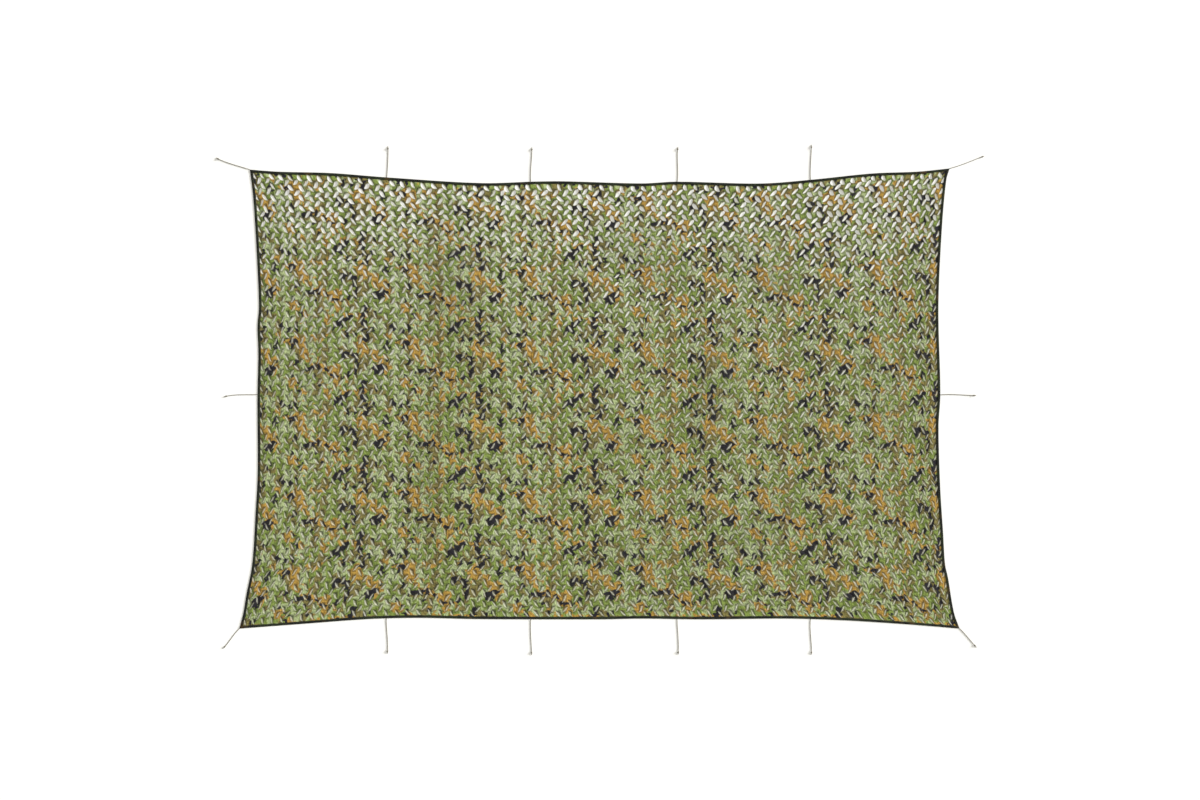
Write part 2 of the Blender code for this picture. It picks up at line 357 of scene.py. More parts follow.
# A tie starts a share of the way along its side and ends at x, y. Its line bows sideways by two
# small amounts, a third and two thirds of the way along.
Tie = namedtuple("Tie", "name side along end_x end_y bow_near bow_far")
TIES = (
    Tie("top_left_corner", "top", 0.0, -2.608, 1.636, 0.003, 0.005),
    Tie("top_1", "top", 0.1957, -1.439, 1.714, -0.002, -0.003),
    Tie("top_2", "top", 0.4013, -0.460, 1.707, 0.003, 0.000),
    Tie("top_3", "top", 0.6107, 0.533, 1.710, -0.002, 0.002),
    Tie("top_4", "top", 0.8012, 1.441, 1.724, 0.003, 0.001),
    Tie("top_right_corner", "top", 1.0, 2.615, 1.648, -0.004, -0.002),
    Tie("right", "right", 0.5080, 2.560, 0.020, 0.004, 0.002),
    Tie("bottom_right_corner", "bottom", 1.0, 2.562, -1.692, 0.002, 0.001),
    Tie("bottom_4", "bottom", 0.7929, 1.440, -1.741, -0.003, 0.001),
    Tie("bottom_3", "bottom", 0.6076, 0.534, -1.741, 0.002, 0.004),
    Tie("bottom_2", "bottom", 0.4044, -0.462, -1.744, -0.003, -0.001),
    Tie("bottom_1", "bottom", 0.2038, -1.443, -1.734, 0.001, 0.004),
    Tie("bottom_left_corner", "bottom", 0.0, -2.560, -1.700, -0.002, 0.001),
    Tie("left", "left", 0.5100, -2.553, 0.012, -0.004, -0.007),
)
EDGES = {"top": top_edge, "bottom": bottom_edge, "left": left_edge, "right": right_edge}
GAP = 0.0003                # between a cord and the floor, and between two strips of tape
TIE_SEAT = 0.0006           # from the fold of the tape to the cut start of a tie
FOLD_HEIGHT = 0.0028        # height of the fold's middle, where a tie starts
LANDS_IN = 5                # a tie comes down to the floor in its first fifth
CORD_DIAMETER = 0.0045
KNOT_DIAMETER = 0.011
KNOT_LENGTH = 0.017
KNOT_TAIL = 0.007           # cord that sticks out past the knot
CORD_STEP = 2.6             # cord diameters from one point of a route to the next


def lift_at(from_end):
    """Radius of what lies on the floor at a distance from the cord's free end."""
    cord = CORD_DIAMETER / 2
    offset = abs(from_end - KNOT_TAIL - KNOT_LENGTH / 2) / (KNOT_LENGTH / 2)
    if offset >= 1.0:
        return cord
    return cord + (KNOT_DIAMETER / 2 - cord) * math.sqrt(1 - offset ** 4)


def tie_route(tie):
    """Points of a tie from the tape's fold to its free end, lying on the floor.

    The factor 13.5 makes the cubic reach both bows, at one third and at two thirds.
    """
    end = Vector((tie.end_x, tie.end_y, 0.0))
    fold = EDGES[tie.side](tie.along)
    start = fold + (end - fold).normalized() * TIE_SEAT
    run = end - start
    sideways = Vector((-run.y, run.x, 0.0)).normalized()
    count = math.ceil(run.length / (CORD_STEP * CORD_DIAMETER))
    route = []
    for step in range(count + 1):
        t = step / count
        bow = 13.5 * t * (1 - t) * ((2 / 3 - t) * tie.bow_near + (t - 1 / 3) * tie.bow_far)
        point = start + run * t + sideways * bow
        from_fold = FOLD_HEIGHT - (FOLD_HEIGHT - CORD_DIAMETER / 2 - GAP) * min(1.0, t * LANDS_IN)
        point.z = max(lift_at(run.length * (1 - t)) + GAP, from_fold)
        route.append(point)
    return route


def route_length(route):
    """Length of a line through points."""
    return sum((after - before).length for before, after in zip(route, route[1:]))


print("ties:", ", ".join(f"{t.name} {route_length(tie_route(t)):.3f} m" for t in TIES))

# %% Braided polyester cord

# Braided polyester: matt strands with a slight sheen, olive grey from dust and sun. Painted shade
# darkens the grooves between the strands, which the eye reads as a rope even at a pixel's width.
CORD_OLIVE = "#6A6250"
CORD_DUST = "#8E8672"
CORD_GROOVE_SHADE = "#2C2A20"
braided_polyester, tree, shader = material("braided_polyester_cord", 0.72)
shader.inputs["Sheen Weight"].default_value = 0.15
shader.inputs["Sheen Roughness"].default_value = 0.5
coordinates = add_node(tree, "ShaderNodeTexCoord").outputs["Object"]
dust = add_node(
    tree, "ShaderNodeTexNoise", {},
    {"Vector": coordinates, "Scale": 22.0, "Detail": 3.0, "Roughness": 0.6},
)
# Painted shade: where the braid's skin lies low, its colour comes close to the dark groove colour.
groove_shade = add_node(tree, "ShaderNodeAttribute", {"attribute_name": "braid"})
olive = add_node(
    tree, "ShaderNodeMix", {"data_type": "RGBA"},
    {"Factor": dust.outputs["Fac"], 6: linear(CORD_OLIVE), 7: linear(CORD_DUST)},
)
shaded = add_node(
    tree, "ShaderNodeMix", {"data_type": "RGBA"},
    {"Factor": groove_shade.outputs["Fac"], 6: linear(CORD_GROOVE_SHADE), 7: olive.outputs[2]},
)
tree.links.new(shaded.outputs[2], shader.inputs["Base Color"])

# %% The tree that sweeps and braids a cord
BRAID_PITCH = 0.011         # one full turn of a strand
BRAID_STRANDS = 3
BRAID_RELIEF = 0.00035      # depth of the grooves between the strands
GROOVE_FLOOR = -0.7         # how far down the crossing waves still count
CORD_SIDES = 12
CORD_RING_STEP = 0.0016     # from one ring of the tube to the next

braid, start, end = new_tree(
    "braided cord",
    {"Diameter": "Float", "Pitch": "Float", "Relief": "Float", "Cord": "Material"},
)
radius = add_node(
    braid, "ShaderNodeMath", {"operation": "MULTIPLY"}, {0: start["Diameter"], 1: 0.5},
).outputs[0]
fine = add_node(
    braid, "GeometryNodeResampleCurve", {"mode": "LENGTH"},
    {"Curve": start["Geometry"], "Length": CORD_RING_STEP},
).outputs[0]
turns = add_node(
    braid, "ShaderNodeMath", {"operation": "DIVIDE"},
    {0: add_node(braid, "GeometryNodeSplineParameter").outputs["Length"], 1: start["Pitch"]},
).outputs[0]
fine = add_node(
    braid, "GeometryNodeStoreNamedAttribute", {"data_type": "FLOAT", "domain": "POINT"},
    {"Geometry": fine, "Name": "turns", "Value": turns},
).outputs[0]
ring = add_node(
    braid, "GeometryNodeCurvePrimitiveCircle", {}, {"Resolution": CORD_SIDES, "Radius": radius},
).outputs[0]
ring = add_node(
    braid, "GeometryNodeStoreNamedAttribute", {"data_type": "FLOAT", "domain": "POINT"},
    {
        "Geometry": ring,
        "Name": "round",
        "Value": add_node(braid, "GeometryNodeSplineParameter").outputs["Factor"],
    },
).outputs[0]
tube = add_node(
    braid, "GeometryNodeCurveToMesh", {},
    {"Curve": fine, "Profile Curve": ring, "Fill Caps": True},
).outputs[0]
waves = []
for direction in ("ADD", "SUBTRACT"):
    along = add_node(
        braid, "GeometryNodeInputNamedAttribute", {"data_type": "FLOAT"}, {"Name": "turns"},
    ).outputs[0]
    around = add_node(
        braid, "GeometryNodeInputNamedAttribute", {"data_type": "FLOAT"}, {"Name": "round"},
    ).outputs[0]
    place = add_node(
        braid, "ShaderNodeMath", {"operation": direction}, {0: around, 1: along},
    ).outputs[0]
    angle = add_node(
        braid, "ShaderNodeMath", {"operation": "MULTIPLY"}, {0: place, 1: math.tau * BRAID_STRANDS},
    ).outputs[0]
    waves.append(add_node(braid, "ShaderNodeMath", {"operation": "SINE"}, {0: angle}).outputs[0])
over = add_node(
    braid, "ShaderNodeMath", {"operation": "MAXIMUM"}, {0: waves[0], 1: waves[1]},
).outputs[0]
height = add_node(
    braid, "ShaderNodeMapRange", {}, {"Value": over, "From Min": GROOVE_FLOOR, "From Max": 1.0},
).outputs[0]
tube = add_node(
    braid, "GeometryNodeStoreNamedAttribute", {"data_type": "FLOAT", "domain": "POINT"},
    {"Geometry": tube, "Name": "braid", "Value": height},
).outputs[0]
sunk = add_node(
    braid, "ShaderNodeMath", {"operation": "MULTIPLY_ADD"},
    {0: height, 1: start["Relief"], 2: -BRAID_RELIEF},
).outputs[0]
offset = add_node(
    braid, "ShaderNodeVectorMath", {"operation": "SCALE"},
    {"Vector": add_node(braid, "GeometryNodeInputNormal").outputs[0], "Scale": sunk},
).outputs[0]
tube = add_node(
    braid, "GeometryNodeSetPosition", {}, {"Geometry": tube, "Offset": offset},
).outputs[0]
tube = add_node(braid, "GeometryNodeRealizeInstances", {}, {"Geometry": tube}).outputs[0]
end_tree(braid, end, tube, start["Cord"])

# %% [markdown]
# The stopper knot is an overhand knot drawn tight. Its line is the knotted loop that textbooks
# call a trefoil, stretched along the cord and swept with the cord's own thickness.

# %% Sweep the fourteen ties and knot them


def route_curve(name, route, cyclic=False):
    """A plain polyline curve through the points."""
    data = bpy.data.curves.new(name, "CURVE")
    data.dimensions = "3D"
    spline = data.splines.new("POLY")
    spline.points.add(len(route) - 1)
    for control, point in zip(spline.points, route):
        control.co = (*point, 1.0)
    spline.use_cyclic_u = cyclic
    curve = bpy.data.objects.new(name, data)
    bpy.context.scene.collection.objects.link(curve)
    return curve


KNOT_STEPS = 54
KNOT_RISE = 0.9             # the loop rises a little less than it spreads


def knot_loop(middle, direction):
    """A trefoil stretched along the cord, round the point where the knot sits.

    Its sums reach 2.7 and 3.0, so dividing by them brings the loop to its two sizes.
    """
    sideways = Vector((-direction.y, direction.x, 0.0)).normalized()
    along_scale = (KNOT_LENGTH - CORD_DIAMETER) / 2
    round_scale = (KNOT_DIAMETER - CORD_DIAMETER) / 2
    loop = []
    for step in range(KNOT_STEPS):
        t = math.tau * step / KNOT_STEPS
        along = (math.sin(t) + 2 * math.sin(2 * t)) / 2.7 * along_scale
        across = (math.cos(t) - 2 * math.cos(2 * t)) / 3.0 * round_scale
        up = -math.sin(3 * t) * round_scale * KNOT_RISE
        loop.append(middle + direction * along + sideways * across + Vector((0, 0, up)))
    return loop


def sweep(name, route, cyclic=False):
    """A braided cord along the points."""
    source = route_curve(name + "_line", route, cyclic)
    piece = grow(name, source, braid, {
        "Diameter": CORD_DIAMETER, "Pitch": BRAID_PITCH, "Relief": BRAID_RELIEF,
        "Cord": braided_polyester,
    })
    bpy.data.objects.remove(source)
    return piece


for tie in TIES:
    route = tie_route(tie)
    cord = sweep("cord_" + tie.name, route)
    direction = (route[-1] - route[-3]).normalized()
    direction.z = 0.0
    middle = route[-1] - direction * (KNOT_TAIL + KNOT_LENGTH / 2)
    middle.z = KNOT_DIAMETER / 2 + GAP
    knot = sweep("knot_" + tie.name, knot_loop(middle, direction), cyclic=True)
    for piece in (cord, knot):
        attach(piece, "root")
        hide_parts("tie_" + tie.name)
print("one cord:", triangles(cord), "triangles, its knot:", triangles(knot))

# %% [markdown]
# ## The surface that the net is laid on
# The cloth is cut flat and then laid. A guide sheet says where each point of the flat cloth
# comes to lie: its UV map is the flat cloth, its points are the laid one. It also carries how
# far the slits stand open there, how much the cloth between them turns, and how free it is to
# wander. Towards the sides the cloth is less stretched, so its columns lie closer together.

# %% Flat sizes
COLUMN_PITCH = 0.0354       # from one column of slits to the next, on the net as it lies
ROW_PITCH = 0.0707          # from one slit to the next in its column
COLUMN_PAIRS = 68
ROWS = 43
SIDE_MARGIN = 0.010         # plain cloth beside the outermost cells, beneath the tape
CLOTH_INSET = 0.004         # from the tape's fold to the cloth's edge inside it
SIDE_SQUEEZE = 0.03         # the middle is spread by this share, at the cost of the two sides
SQUEEZE_POWER = 9           # a high power leaves the squeeze to the outermost columns
FLAT_LENGTH = 2 * COLUMN_PAIRS * COLUMN_PITCH + 2 * SIDE_MARGIN
FLAT_WIDTH = ROWS * ROW_PITCH
print("slits:", COLUMN_PAIRS * (2 * ROWS - 1), "in a flat", round(FLAT_LENGTH, 3), "m")

# %% How open, how lifted
Zone = namedtuple("Zone", "x y half_length half_width turn_deg change")

# How far the slits open, as a share of the full opening: first by the share of the way up the
# net, then more or less in soft oval zones where it is pulled harder or lies slack.
OPEN_UP_THE_NET = ((0.0, 0.42), (0.25, 0.60), (0.5, 0.82), (0.78, 1.38), (0.9, 2.2), (1.0, 2.8))
OPEN_ZONES = (
    Zone(-1.8, 1.22, 0.62, 0.38, 0.0, 0.52),
    Zone(1.8, 1.22, 0.7, 0.38, 0.0, 0.68),
    Zone(-0.23, 1.36, 0.3, 0.16, 0.0, 0.4),
    Zone(-0.95, 0.0, 2.6, 0.5, 90.0, -0.42),
    Zone(0.04, 0.53, 0.3, 0.22, 0.0, 0.16),
    Zone(0.85, 0.57, 0.3, 0.22, 0.0, 0.16),
    Zone(-1.93, 0.53, 0.3, 0.26, 0.0, 0.16),
    Zone(0.6, -0.28, 0.9, 0.22, 4.0, -0.16),
    Zone(0.45, -1.04, 0.9, 0.22, 4.0, -0.19),
    Zone(0.9, 0.14, 0.62, 0.2, 0.0, -0.16),
    Zone(0.6, 0.88, 0.95, 0.2, -6.0, -0.16),
    Zone(-2.25, 0.0, 1.8, 0.26, 90.0, -0.38),
    Zone(2.25, 0.0, 1.8, 0.26, 90.0, -0.38),
)
LOW_OPENING = 0.88          # slits in the columns that lie low, and in those that ride high
HIGH_OPENING = 1.02
TURN_OVER = 0.16            # half the width in which the two kinds of column change places
FULL_RELIEF = 0.0021        # how far the strips between the slits rise and sink as they turn
NEAR_TAPE = 0.020           # pinned flat by the stitches up to here
FREE_FROM_TAPE = 0.055      # and free to turn and wander from here on
TAPED_HEIGHT = 0.0028       # the cloth's height inside the folded tape
CLEARANCE = 0.0008          # the cloth's least height over the floor
RELIEF_SPREAD = 3.0         # the net stands on its folds, this many reliefs high
SWELL_HEIGHT = 0.026
SWELL_CALM = 0.4            # share of the relief that is lost on a swell of that height


def openness(x, y, v):
    """How far the slits stand open at a point of the laid net, v of the way up."""
    return through(OPEN_UP_THE_NET, v) + mound(OPEN_ZONES, x, y)


def squeezed(share):
    """Share of the laid half-length at a share of the flat one, from -1 to 1."""
    return share * (1 + SIDE_SQUEEZE) - SIDE_SQUEEZE * share ** SQUEEZE_POWER


# %% The guide sheet
EDGE_STEPS = (0.0, 0.014, 0.026, 0.040, 0.058, 0.078)   # distances from the cloth's edge
GUIDE_STEP = 0.045          # and about this far apart in the open net


def guide_stations(size):
    """Distances across a flat side: close together near the tape, then even steps."""
    inner = size - 2 * EDGE_STEPS[-1]
    count = round(inner / GUIDE_STEP)
    middle = [EDGE_STEPS[-1] + inner * step / count for step in range(1, count)]
    return [*EDGE_STEPS, *middle, *[size - step for step in reversed(EDGE_STEPS)]]


def freedom(u, v):
    """0 beneath the tape, 1 in the open net."""
    inside = min(min(u, 1 - u) * LENGTH, min(v, 1 - v) * WIDTH)
    share = (inside - NEAR_TAPE) / (FREE_FROM_TAPE - NEAR_TAPE)
    share = min(1.0, max(0.0, share))
    return share * share * (3 - 2 * share)


def grid_faces(across, up):
    """The quads of a grid, so many across and up, whose points are listed row by row."""
    row = across + 1
    return [
        (i + j * row, i + 1 + j * row, i + 1 + (j + 1) * row, i + (j + 1) * row)
        for j in range(up)
        for i in range(across)
    ]


def make_guide():
    """The laid cloth as a sheet of quads, with the flat cloth as its UV map."""
    across = guide_stations(FLAT_LENGTH)
    up = guide_stations(FLAT_WIDTH)
    points, flat = [], []
    values = {"open_left": [], "open_right": [], "relief": [], "ride": [], "freedom": []}
    for y in up:
        for x in across:
            u = 0.5 + squeezed(2 * x / FLAT_LENGTH - 1) * (0.5 - CLOTH_INSET / LENGTH)
            v = 0.5 + (2 * y / FLAT_WIDTH - 1) * (0.5 - CLOTH_INSET / WIDTH)
            point = on_net(u, v)
            free = freedom(u, v)
            opening = openness(point.x, point.y, v)
            swell = mound(SWELLS, point.x, point.y)
            relief = free * FULL_RELIEF * (1 - SWELL_CALM * swell / SWELL_HEIGHT)
            laid = swell + CLEARANCE + RELIEF_SPREAD * relief
            point.z = free * laid + (1 - free) * TAPED_HEIGHT
            side = min(1.0, max(-1.0, point.x / TURN_OVER))
            step = (HIGH_OPENING - LOW_OPENING) / 2
            values["open_left"].append(opening * (LOW_OPENING + step * (1 + side)))
            values["open_right"].append(opening * (LOW_OPENING + step * (1 - side)))
            values["relief"].append(relief)
            values["ride"].append(relief * -side)
            values["freedom"].append(free)
            points.append(point)
            flat.append((x / FLAT_LENGTH, y / FLAT_WIDTH))
    made = mesh_object("guide", points, grid_faces(len(across) - 1, len(up) - 1))
    uv_map = made.data.uv_layers.new(name="flat")
    for loop in made.data.loops:
        uv_map.data[loop.index].uv = flat[loop.vertex_index]
    for name, numbers in values.items():
        attribute = made.data.attributes.new(name, "FLOAT", "POINT")
        attribute.data.foreach_set("value", numbers)
    return made


guide = make_guide()
print("guide:", len(guide.data.vertices), "points")

# %% [markdown]
# ## One leaf-cut cell
# The whole net repeats one small piece of cloth: a slanted slit in the middle of a plain
# rectangle. Cells in one column lean one way, those of the next lean the other way and are set
# half a row lower. The cell is drawn with its slit closed, and its points carry what the later
# steps need. For the laying tree that is how a point moves as the slit opens, how loosely it
# follows a slit that sits off its place, and how it curls. For the cloth's colour it is where
# light and shade are painted: a highlight on the cut lip, and shade in the fold just behind it.

# %% The slit and its lips
TIP_ACROSS = 0.0146         # from the slit's middle to a tip, sideways and up or down
TIP_UP = 0.0208
SLIT_BELLY = 0.0020         # the slit's own bend
FULL_OPENING = 0.0080
UPPER_LIP = 0.35            # share of the opening that the upper lip makes
LIP_FULLNESS = 0.7          # below 1, a hole is fuller than a lens of two arcs
LIP_LEAN = 0.15             # and this much fuller near its upper tip
LEFT_CURLS = (-0.1, -0.3)   # how far the upper and lower lip curl out of their column
RIGHT_CURLS = (0.1, 0.3)
SIDE_SPANS = 8              # spans up a cell's side; even, so half a row still meets
END_SPANS = 3               # and across its end
HALF_RAYS = SIDE_SPANS + END_SPANS
# Each ring: how far out towards the border it lies, how far it spreads and curls, and how much painted
# highlight and painted shade its points take.
Ring = namedtuple("Ring", "share spread curl wear dirt")
RINGS = (
    Ring(0.0, 1.0, 1.0, 1.0, 0.0),      # the lip, where the painted highlight lies
    Ring(0.3, 0.6, 0.72, 0.0, 1.0),     # the fold behind it, darkened by painted shade
    Ring(0.55, 0.3, 0.45, 0.0, 0.58),
    Ring(1.0, 0.0, 0.0, 0.0, 0.0),      # the cell's border
)
LOWER_LIP_SHADE = 0.6            # the fold behind a lower lip gets less painted shade than behind an upper one


def cell_border():
    """Border points of a cell, clockwise from the one that faces the slit's upper tip."""
    half_x, half_y = COLUMN_PITCH / 2, ROW_PITCH / 2
    rise, run = ROW_PITCH / SIDE_SPANS, COLUMN_PITCH / END_SPANS
    left = [(-half_x, -half_y + rise * k) for k in range(SIDE_SPANS + 1)]
    top = [(-half_x + run * k, half_y) for k in range(1, END_SPANS + 1)]
    right = [(half_x, half_y - rise * k) for k in range(1, SIDE_SPANS + 1)]
    bottom = [(half_x - run * k, -half_y) for k in range(1, END_SPANS)]
    loop = left + top + right + bottom
    first = SIDE_SPANS - 1
    return [Vector((*p, 0.0)) for p in loop[first:] + loop[:first]]


def slit_point(t):
    """Point of the closed slit, from its upper left tip (-1) to its lower right one (1)."""
    across = Vector((TIP_UP, TIP_ACROSS, 0.0)).normalized()
    return Vector((TIP_ACROSS * t, -TIP_UP * t, 0.0)) - across * SLIT_BELLY * (1 - t * t)


def lip_offset(t, upper):
    """How far a lip moves when the slit is fully open: fuller near the upper tip."""
    across = Vector((TIP_UP, TIP_ACROSS, 0.0)).normalized()
    shape = (1 - t * t) ** LIP_FULLNESS * (1 - LIP_LEAN * t)
    share = UPPER_LIP if upper else UPPER_LIP - 1
    return across * FULL_OPENING * share * shape


def make_leaf(name, mirrored):
    """One cell: rings of quads between the slit's two lips and the cell's border."""
    border = cell_border()
    lips = []
    for ray in range(2 * HALF_RAYS):
        upper = ray <= HALF_RAYS
        t = -1 + 2 * (ray if upper else 2 * HALF_RAYS - ray) / HALF_RAYS
        tip = ray % HALF_RAYS == 0
        offset = Vector() if tip else lip_offset(t, upper)
        upper_curl, lower_curl = RIGHT_CURLS if mirrored else LEFT_CURLS
        curl = (upper_curl if upper else lower_curl) * (1 - t * t)
        # The last value is how much painted shade the fold behind this lip takes.
        lips.append((slit_point(t), offset, curl, 1.0 if upper else LOWER_LIP_SHADE))
    points, spreads = [], []
    carried = {"loose": [], "curl": [], "wear": [], "dirt": [], "lean": []}
    turn = Matrix.Scale(-1, 4, (1, 0, 0)) if mirrored else Matrix()
    for ring in RINGS:
        for (place, offset, curl, lip_shade), outer in zip(lips, border):
            points.append(turn @ place.lerp(outer, ring.share))
            spreads.append(turn @ (offset * ring.spread))
            carried["loose"].append(ring.spread)
            carried["curl"].append(curl * ring.curl)
            carried["wear"].append(ring.wear)
            carried["dirt"].append(ring.dirt * lip_shade)
            carried["lean"].append(float(mirrored))
    count = 2 * HALF_RAYS
    faces = []
    for ring in range(len(RINGS) - 1):
        for ray in range(count):
            near, far = ring * count + ray, ring * count + (ray + 1) % count
            face = (near, near + count, far + count, far)
            faces.append(face if mirrored else face[::-1])
    leaf = mesh_object(name, points, faces)
    spread = leaf.data.attributes.new("spread", "FLOAT_VECTOR", "POINT")
    spread.data.foreach_set("vector", [c for s in spreads for c in s])
    for label, numbers in carried.items():
        leaf.data.attributes.new(label, "FLOAT", "POINT").data.foreach_set("value", numbers)
    return leaf


leaf_left = make_leaf("leaf_left", False)
leaf_right = make_leaf("leaf_right", True)
for leaf in (leaf_left, leaf_right):
    print(leaf.name, triangles(leaf), "triangles, faces up:", leaf.data.polygons[0].normal.z > 0)

# %% Plain cells that fill the ends of every other column and the two sides


def make_plain(name, size_x, size_y, spans_x, spans_y):
    """A flat rectangle of quads without a slit."""
    points = [
        (size_x * (i / spans_x - 0.5), size_y * (j / spans_y - 0.5), 0.0)
        for j in range(spans_y + 1)
        for i in range(spans_x + 1)
    ]
    return mesh_object(name, points, grid_faces(spans_x, spans_y))


end_cell = make_plain("end_cell", COLUMN_PITCH, ROW_PITCH / 2, END_SPANS, SIDE_SPANS // 2)
side_cell = make_plain("side_cell", SIDE_MARGIN, ROW_PITCH, 1, SIDE_SPANS)

# %% [markdown]
# ## Printed and coated oxford cloth
# The cloth is polyester oxford with a matt coating and a woodland print: leaf green, sage and
# olive, patches of orange-brown, and small near-black ones. The print is a repeat of the
# printing screen, 0.80 m long and 0.52 m high. Noise that repeats is made by walking round two circles
# in four dimensions, one for each direction of the cloth. Soft noise cut off at a level gives
# blotches with a printed edge. Along the cuts a pale painted highlight lies on the very lip, and
# painted shade darkens the fold just behind it. The cells' two attributes say where.

# %% The woodland print
PRINT_LENGTH = 0.80
PRINT_HEIGHT = 0.517
BLOTCH = 0.085              # size of a printed patch, metres
PRINT_EDGE = 0.012          # half the range of noise over which a patch's edge fades in

# Coated polyester oxford: matt with a faint sheen, flat printed colours with crisp edges.
printed_oxford, tree, shader = material("printed_polyester_oxford", 0.86)
shader.inputs["Sheen Weight"].default_value = 0.12
shader.inputs["Sheen Roughness"].default_value = 0.6
shader.inputs["Specular IOR Level"].default_value = 0.3
cloth = add_node(tree, "ShaderNodeAttribute", {"attribute_name": "flat_cloth"}).outputs["Vector"]
flat_x, flat_y = add_node(tree, "ShaderNodeSeparateXYZ", {}, {0: cloth}).outputs[:2]


def circle(position, period):
    """Cosine and sine of a place on the cloth, on a circle one repeat round; unit: a blotch."""
    angle = add_node(
        tree, "ShaderNodeMath", {"operation": "MULTIPLY"}, {0: position, 1: math.tau / period},
    ).outputs[0]
    both = []
    for wave in ("COSINE", "SINE"):
        turned = add_node(tree, "ShaderNodeMath", {"operation": wave}, {0: angle}).outputs[0]
        both.append(add_node(
            tree, "ShaderNodeMath", {"operation": "MULTIPLY"},
            {0: turned, 1: period / math.tau / BLOTCH},
        ).outputs[0])
    return both


cos_x, sin_x = circle(flat_x, PRINT_LENGTH)
cos_y, sin_y = circle(flat_y, PRINT_HEIGHT)
screen = add_node(
    tree, "ShaderNodeCombineXYZ", {}, {"X": cos_x, "Y": sin_x, "Z": cos_y},
).outputs[0]


def blotches(patch):
    """1 inside the patches of one print colour, 0 outside, with a printed edge."""
    moved = add_node(
        tree, "ShaderNodeVectorMath", {"operation": "ADD"}, {0: screen, 1: (patch.shift,) * 3},
    ).outputs[0]
    noise = add_node(
        tree, "ShaderNodeTexNoise", {"noise_dimensions": "4D"},
        {
            "Vector": moved, "W": sin_y, "Scale": patch.scale, "Detail": patch.detail,
            "Roughness": 0.6,
        },
    ).outputs["Fac"]
    return add_node(
        tree, "ShaderNodeMapRange", {},
        {"Value": noise, "From Min": patch.level - PRINT_EDGE, "From Max": patch.level + PRINT_EDGE},
    ).outputs[0]


LEAF_GREEN = "#7A8C3F"
PALE_SAGE = "#A5B27E"
OLIVE = "#7B723C"
ORANGE_BROWN = "#AF8B3A"
NEAR_BLACK = "#0F0C18"
# Colours of the painted shade in the folds and of the painted highlight on the lips.
FOLD_SHADE_BROWN = "#17160C"
LIP_HIGHLIGHT_PALE = "#D2D0BA"
FOLD_SHADE = 0.92            # how far the painted shade hides the print in the fold behind a lip
LIP_HIGHLIGHT = 0.66             # and how far the painted highlight does at the very lip

# Each colour is printed over the ones before it, in patches of its own: where its noise starts,
# the noise's scale, the level it is cut off at (a higher one leaves less), and its detail.
Patch = namedtuple("Patch", "colour shift scale level detail")
PATCHES = (
    Patch(PALE_SAGE, 3.7, 1.0, 0.50, 1.5),
    Patch(OLIVE, 11.3, 1.0, 0.55, 1.5),
    Patch(ORANGE_BROWN, 52.3, 0.85, 0.578, 2.0),
    Patch(NEAR_BLACK, 41.1, 1.0, 0.575, 2.5),
)
colour = linear(LEAF_GREEN)
for patch in PATCHES:
    colour = add_node(
        tree, "ShaderNodeMix", {"data_type": "RGBA"},
        {"Factor": blotches(patch), 6: colour, 7: linear(patch.colour)},
    ).outputs[2]
# Painted shade darkens the fold behind each lip, and a painted highlight pales the lip itself.
for name, strength, hex_colour in (
    ("dirt", FOLD_SHADE, FOLD_SHADE_BROWN),
    ("wear", LIP_HIGHLIGHT, LIP_HIGHLIGHT_PALE),
):
    share = add_node(tree, "ShaderNodeAttribute", {"attribute_name": name}).outputs["Fac"]
    share = add_node(
        tree, "ShaderNodeMath", {"operation": "MULTIPLY"}, {0: share, 1: strength},
    ).outputs[0]
    colour = add_node(
        tree, "ShaderNodeMix", {"data_type": "RGBA"},
        {"Factor": share, 6: colour, 7: linear(hex_colour)},
    ).outputs[2]
tree.links.new(colour, shader.inputs["Base Color"])

# %% The weave, and the small creases that a stretched net keeps
WEAVE_PITCH = 0.0035        # oxford threads are 0.5 mm apart; drawn coarser so that they show
WEAVE_DEPTH = 0.0003
CREASE_SIZE = 0.012
CREASE_DEPTH = 0.009        # deeper than real ones, which are too fine to show from so far


def wave_scale(pitch):
    """The scale at which a wave texture has one band for each pitch."""
    return math.tau / 20 / pitch


threads = []
for direction in ("X", "Y"):
    threads.append(add_node(
        tree, "ShaderNodeTexWave", {"bands_direction": direction, "wave_profile": "SIN"},
        {"Vector": cloth, "Scale": wave_scale(WEAVE_PITCH), "Distortion": 0.4},
    ).outputs["Fac"])
weave = add_node(
    tree, "ShaderNodeMath", {"operation": "MAXIMUM"}, {0: threads[0], 1: threads[1]},
).outputs[0]
bump = add_node(
    tree, "ShaderNodeBump", {}, {"Height": weave, "Strength": 0.25, "Distance": WEAVE_DEPTH},
).outputs[0]
creases = add_node(
    tree, "ShaderNodeTexNoise", {},
    {"Vector": cloth, "Scale": 1 / CREASE_SIZE, "Detail": 1.0, "Roughness": 0.5},
).outputs["Fac"]
bump = add_node(
    tree, "ShaderNodeBump", {}, {"Height": creases, "Distance": CREASE_DEPTH, "Normal": bump},
).outputs[0]
tree.links.new(bump, shader.inputs["Normal"])

# %% [markdown]
# ## Cut, spread and lay the net
# The tree sets out the cells of one panel on the flat cloth, gives each hole its own small
# chance, opens the slits, and asks the guide sheet where every point comes to lie. In the left
# half the columns that lean left lie low and those that lean right ride high, so that the cloth
# between them is a zigzag strip that tilts one way and then the other. In the right half they
# change places. Each strip is also a little rolled: its middle stands up as a soft ridge, and
# its cut edges hang. Neighbour cells share their border points, so merging by distance welds
# them to one sheet. The net is grown in six panels, side by side, so that each stays a light
# piece.
#
# The tree has many sums. They are written as tables with one step to a row: the result's name,
# the operation, and the two things that it works on.

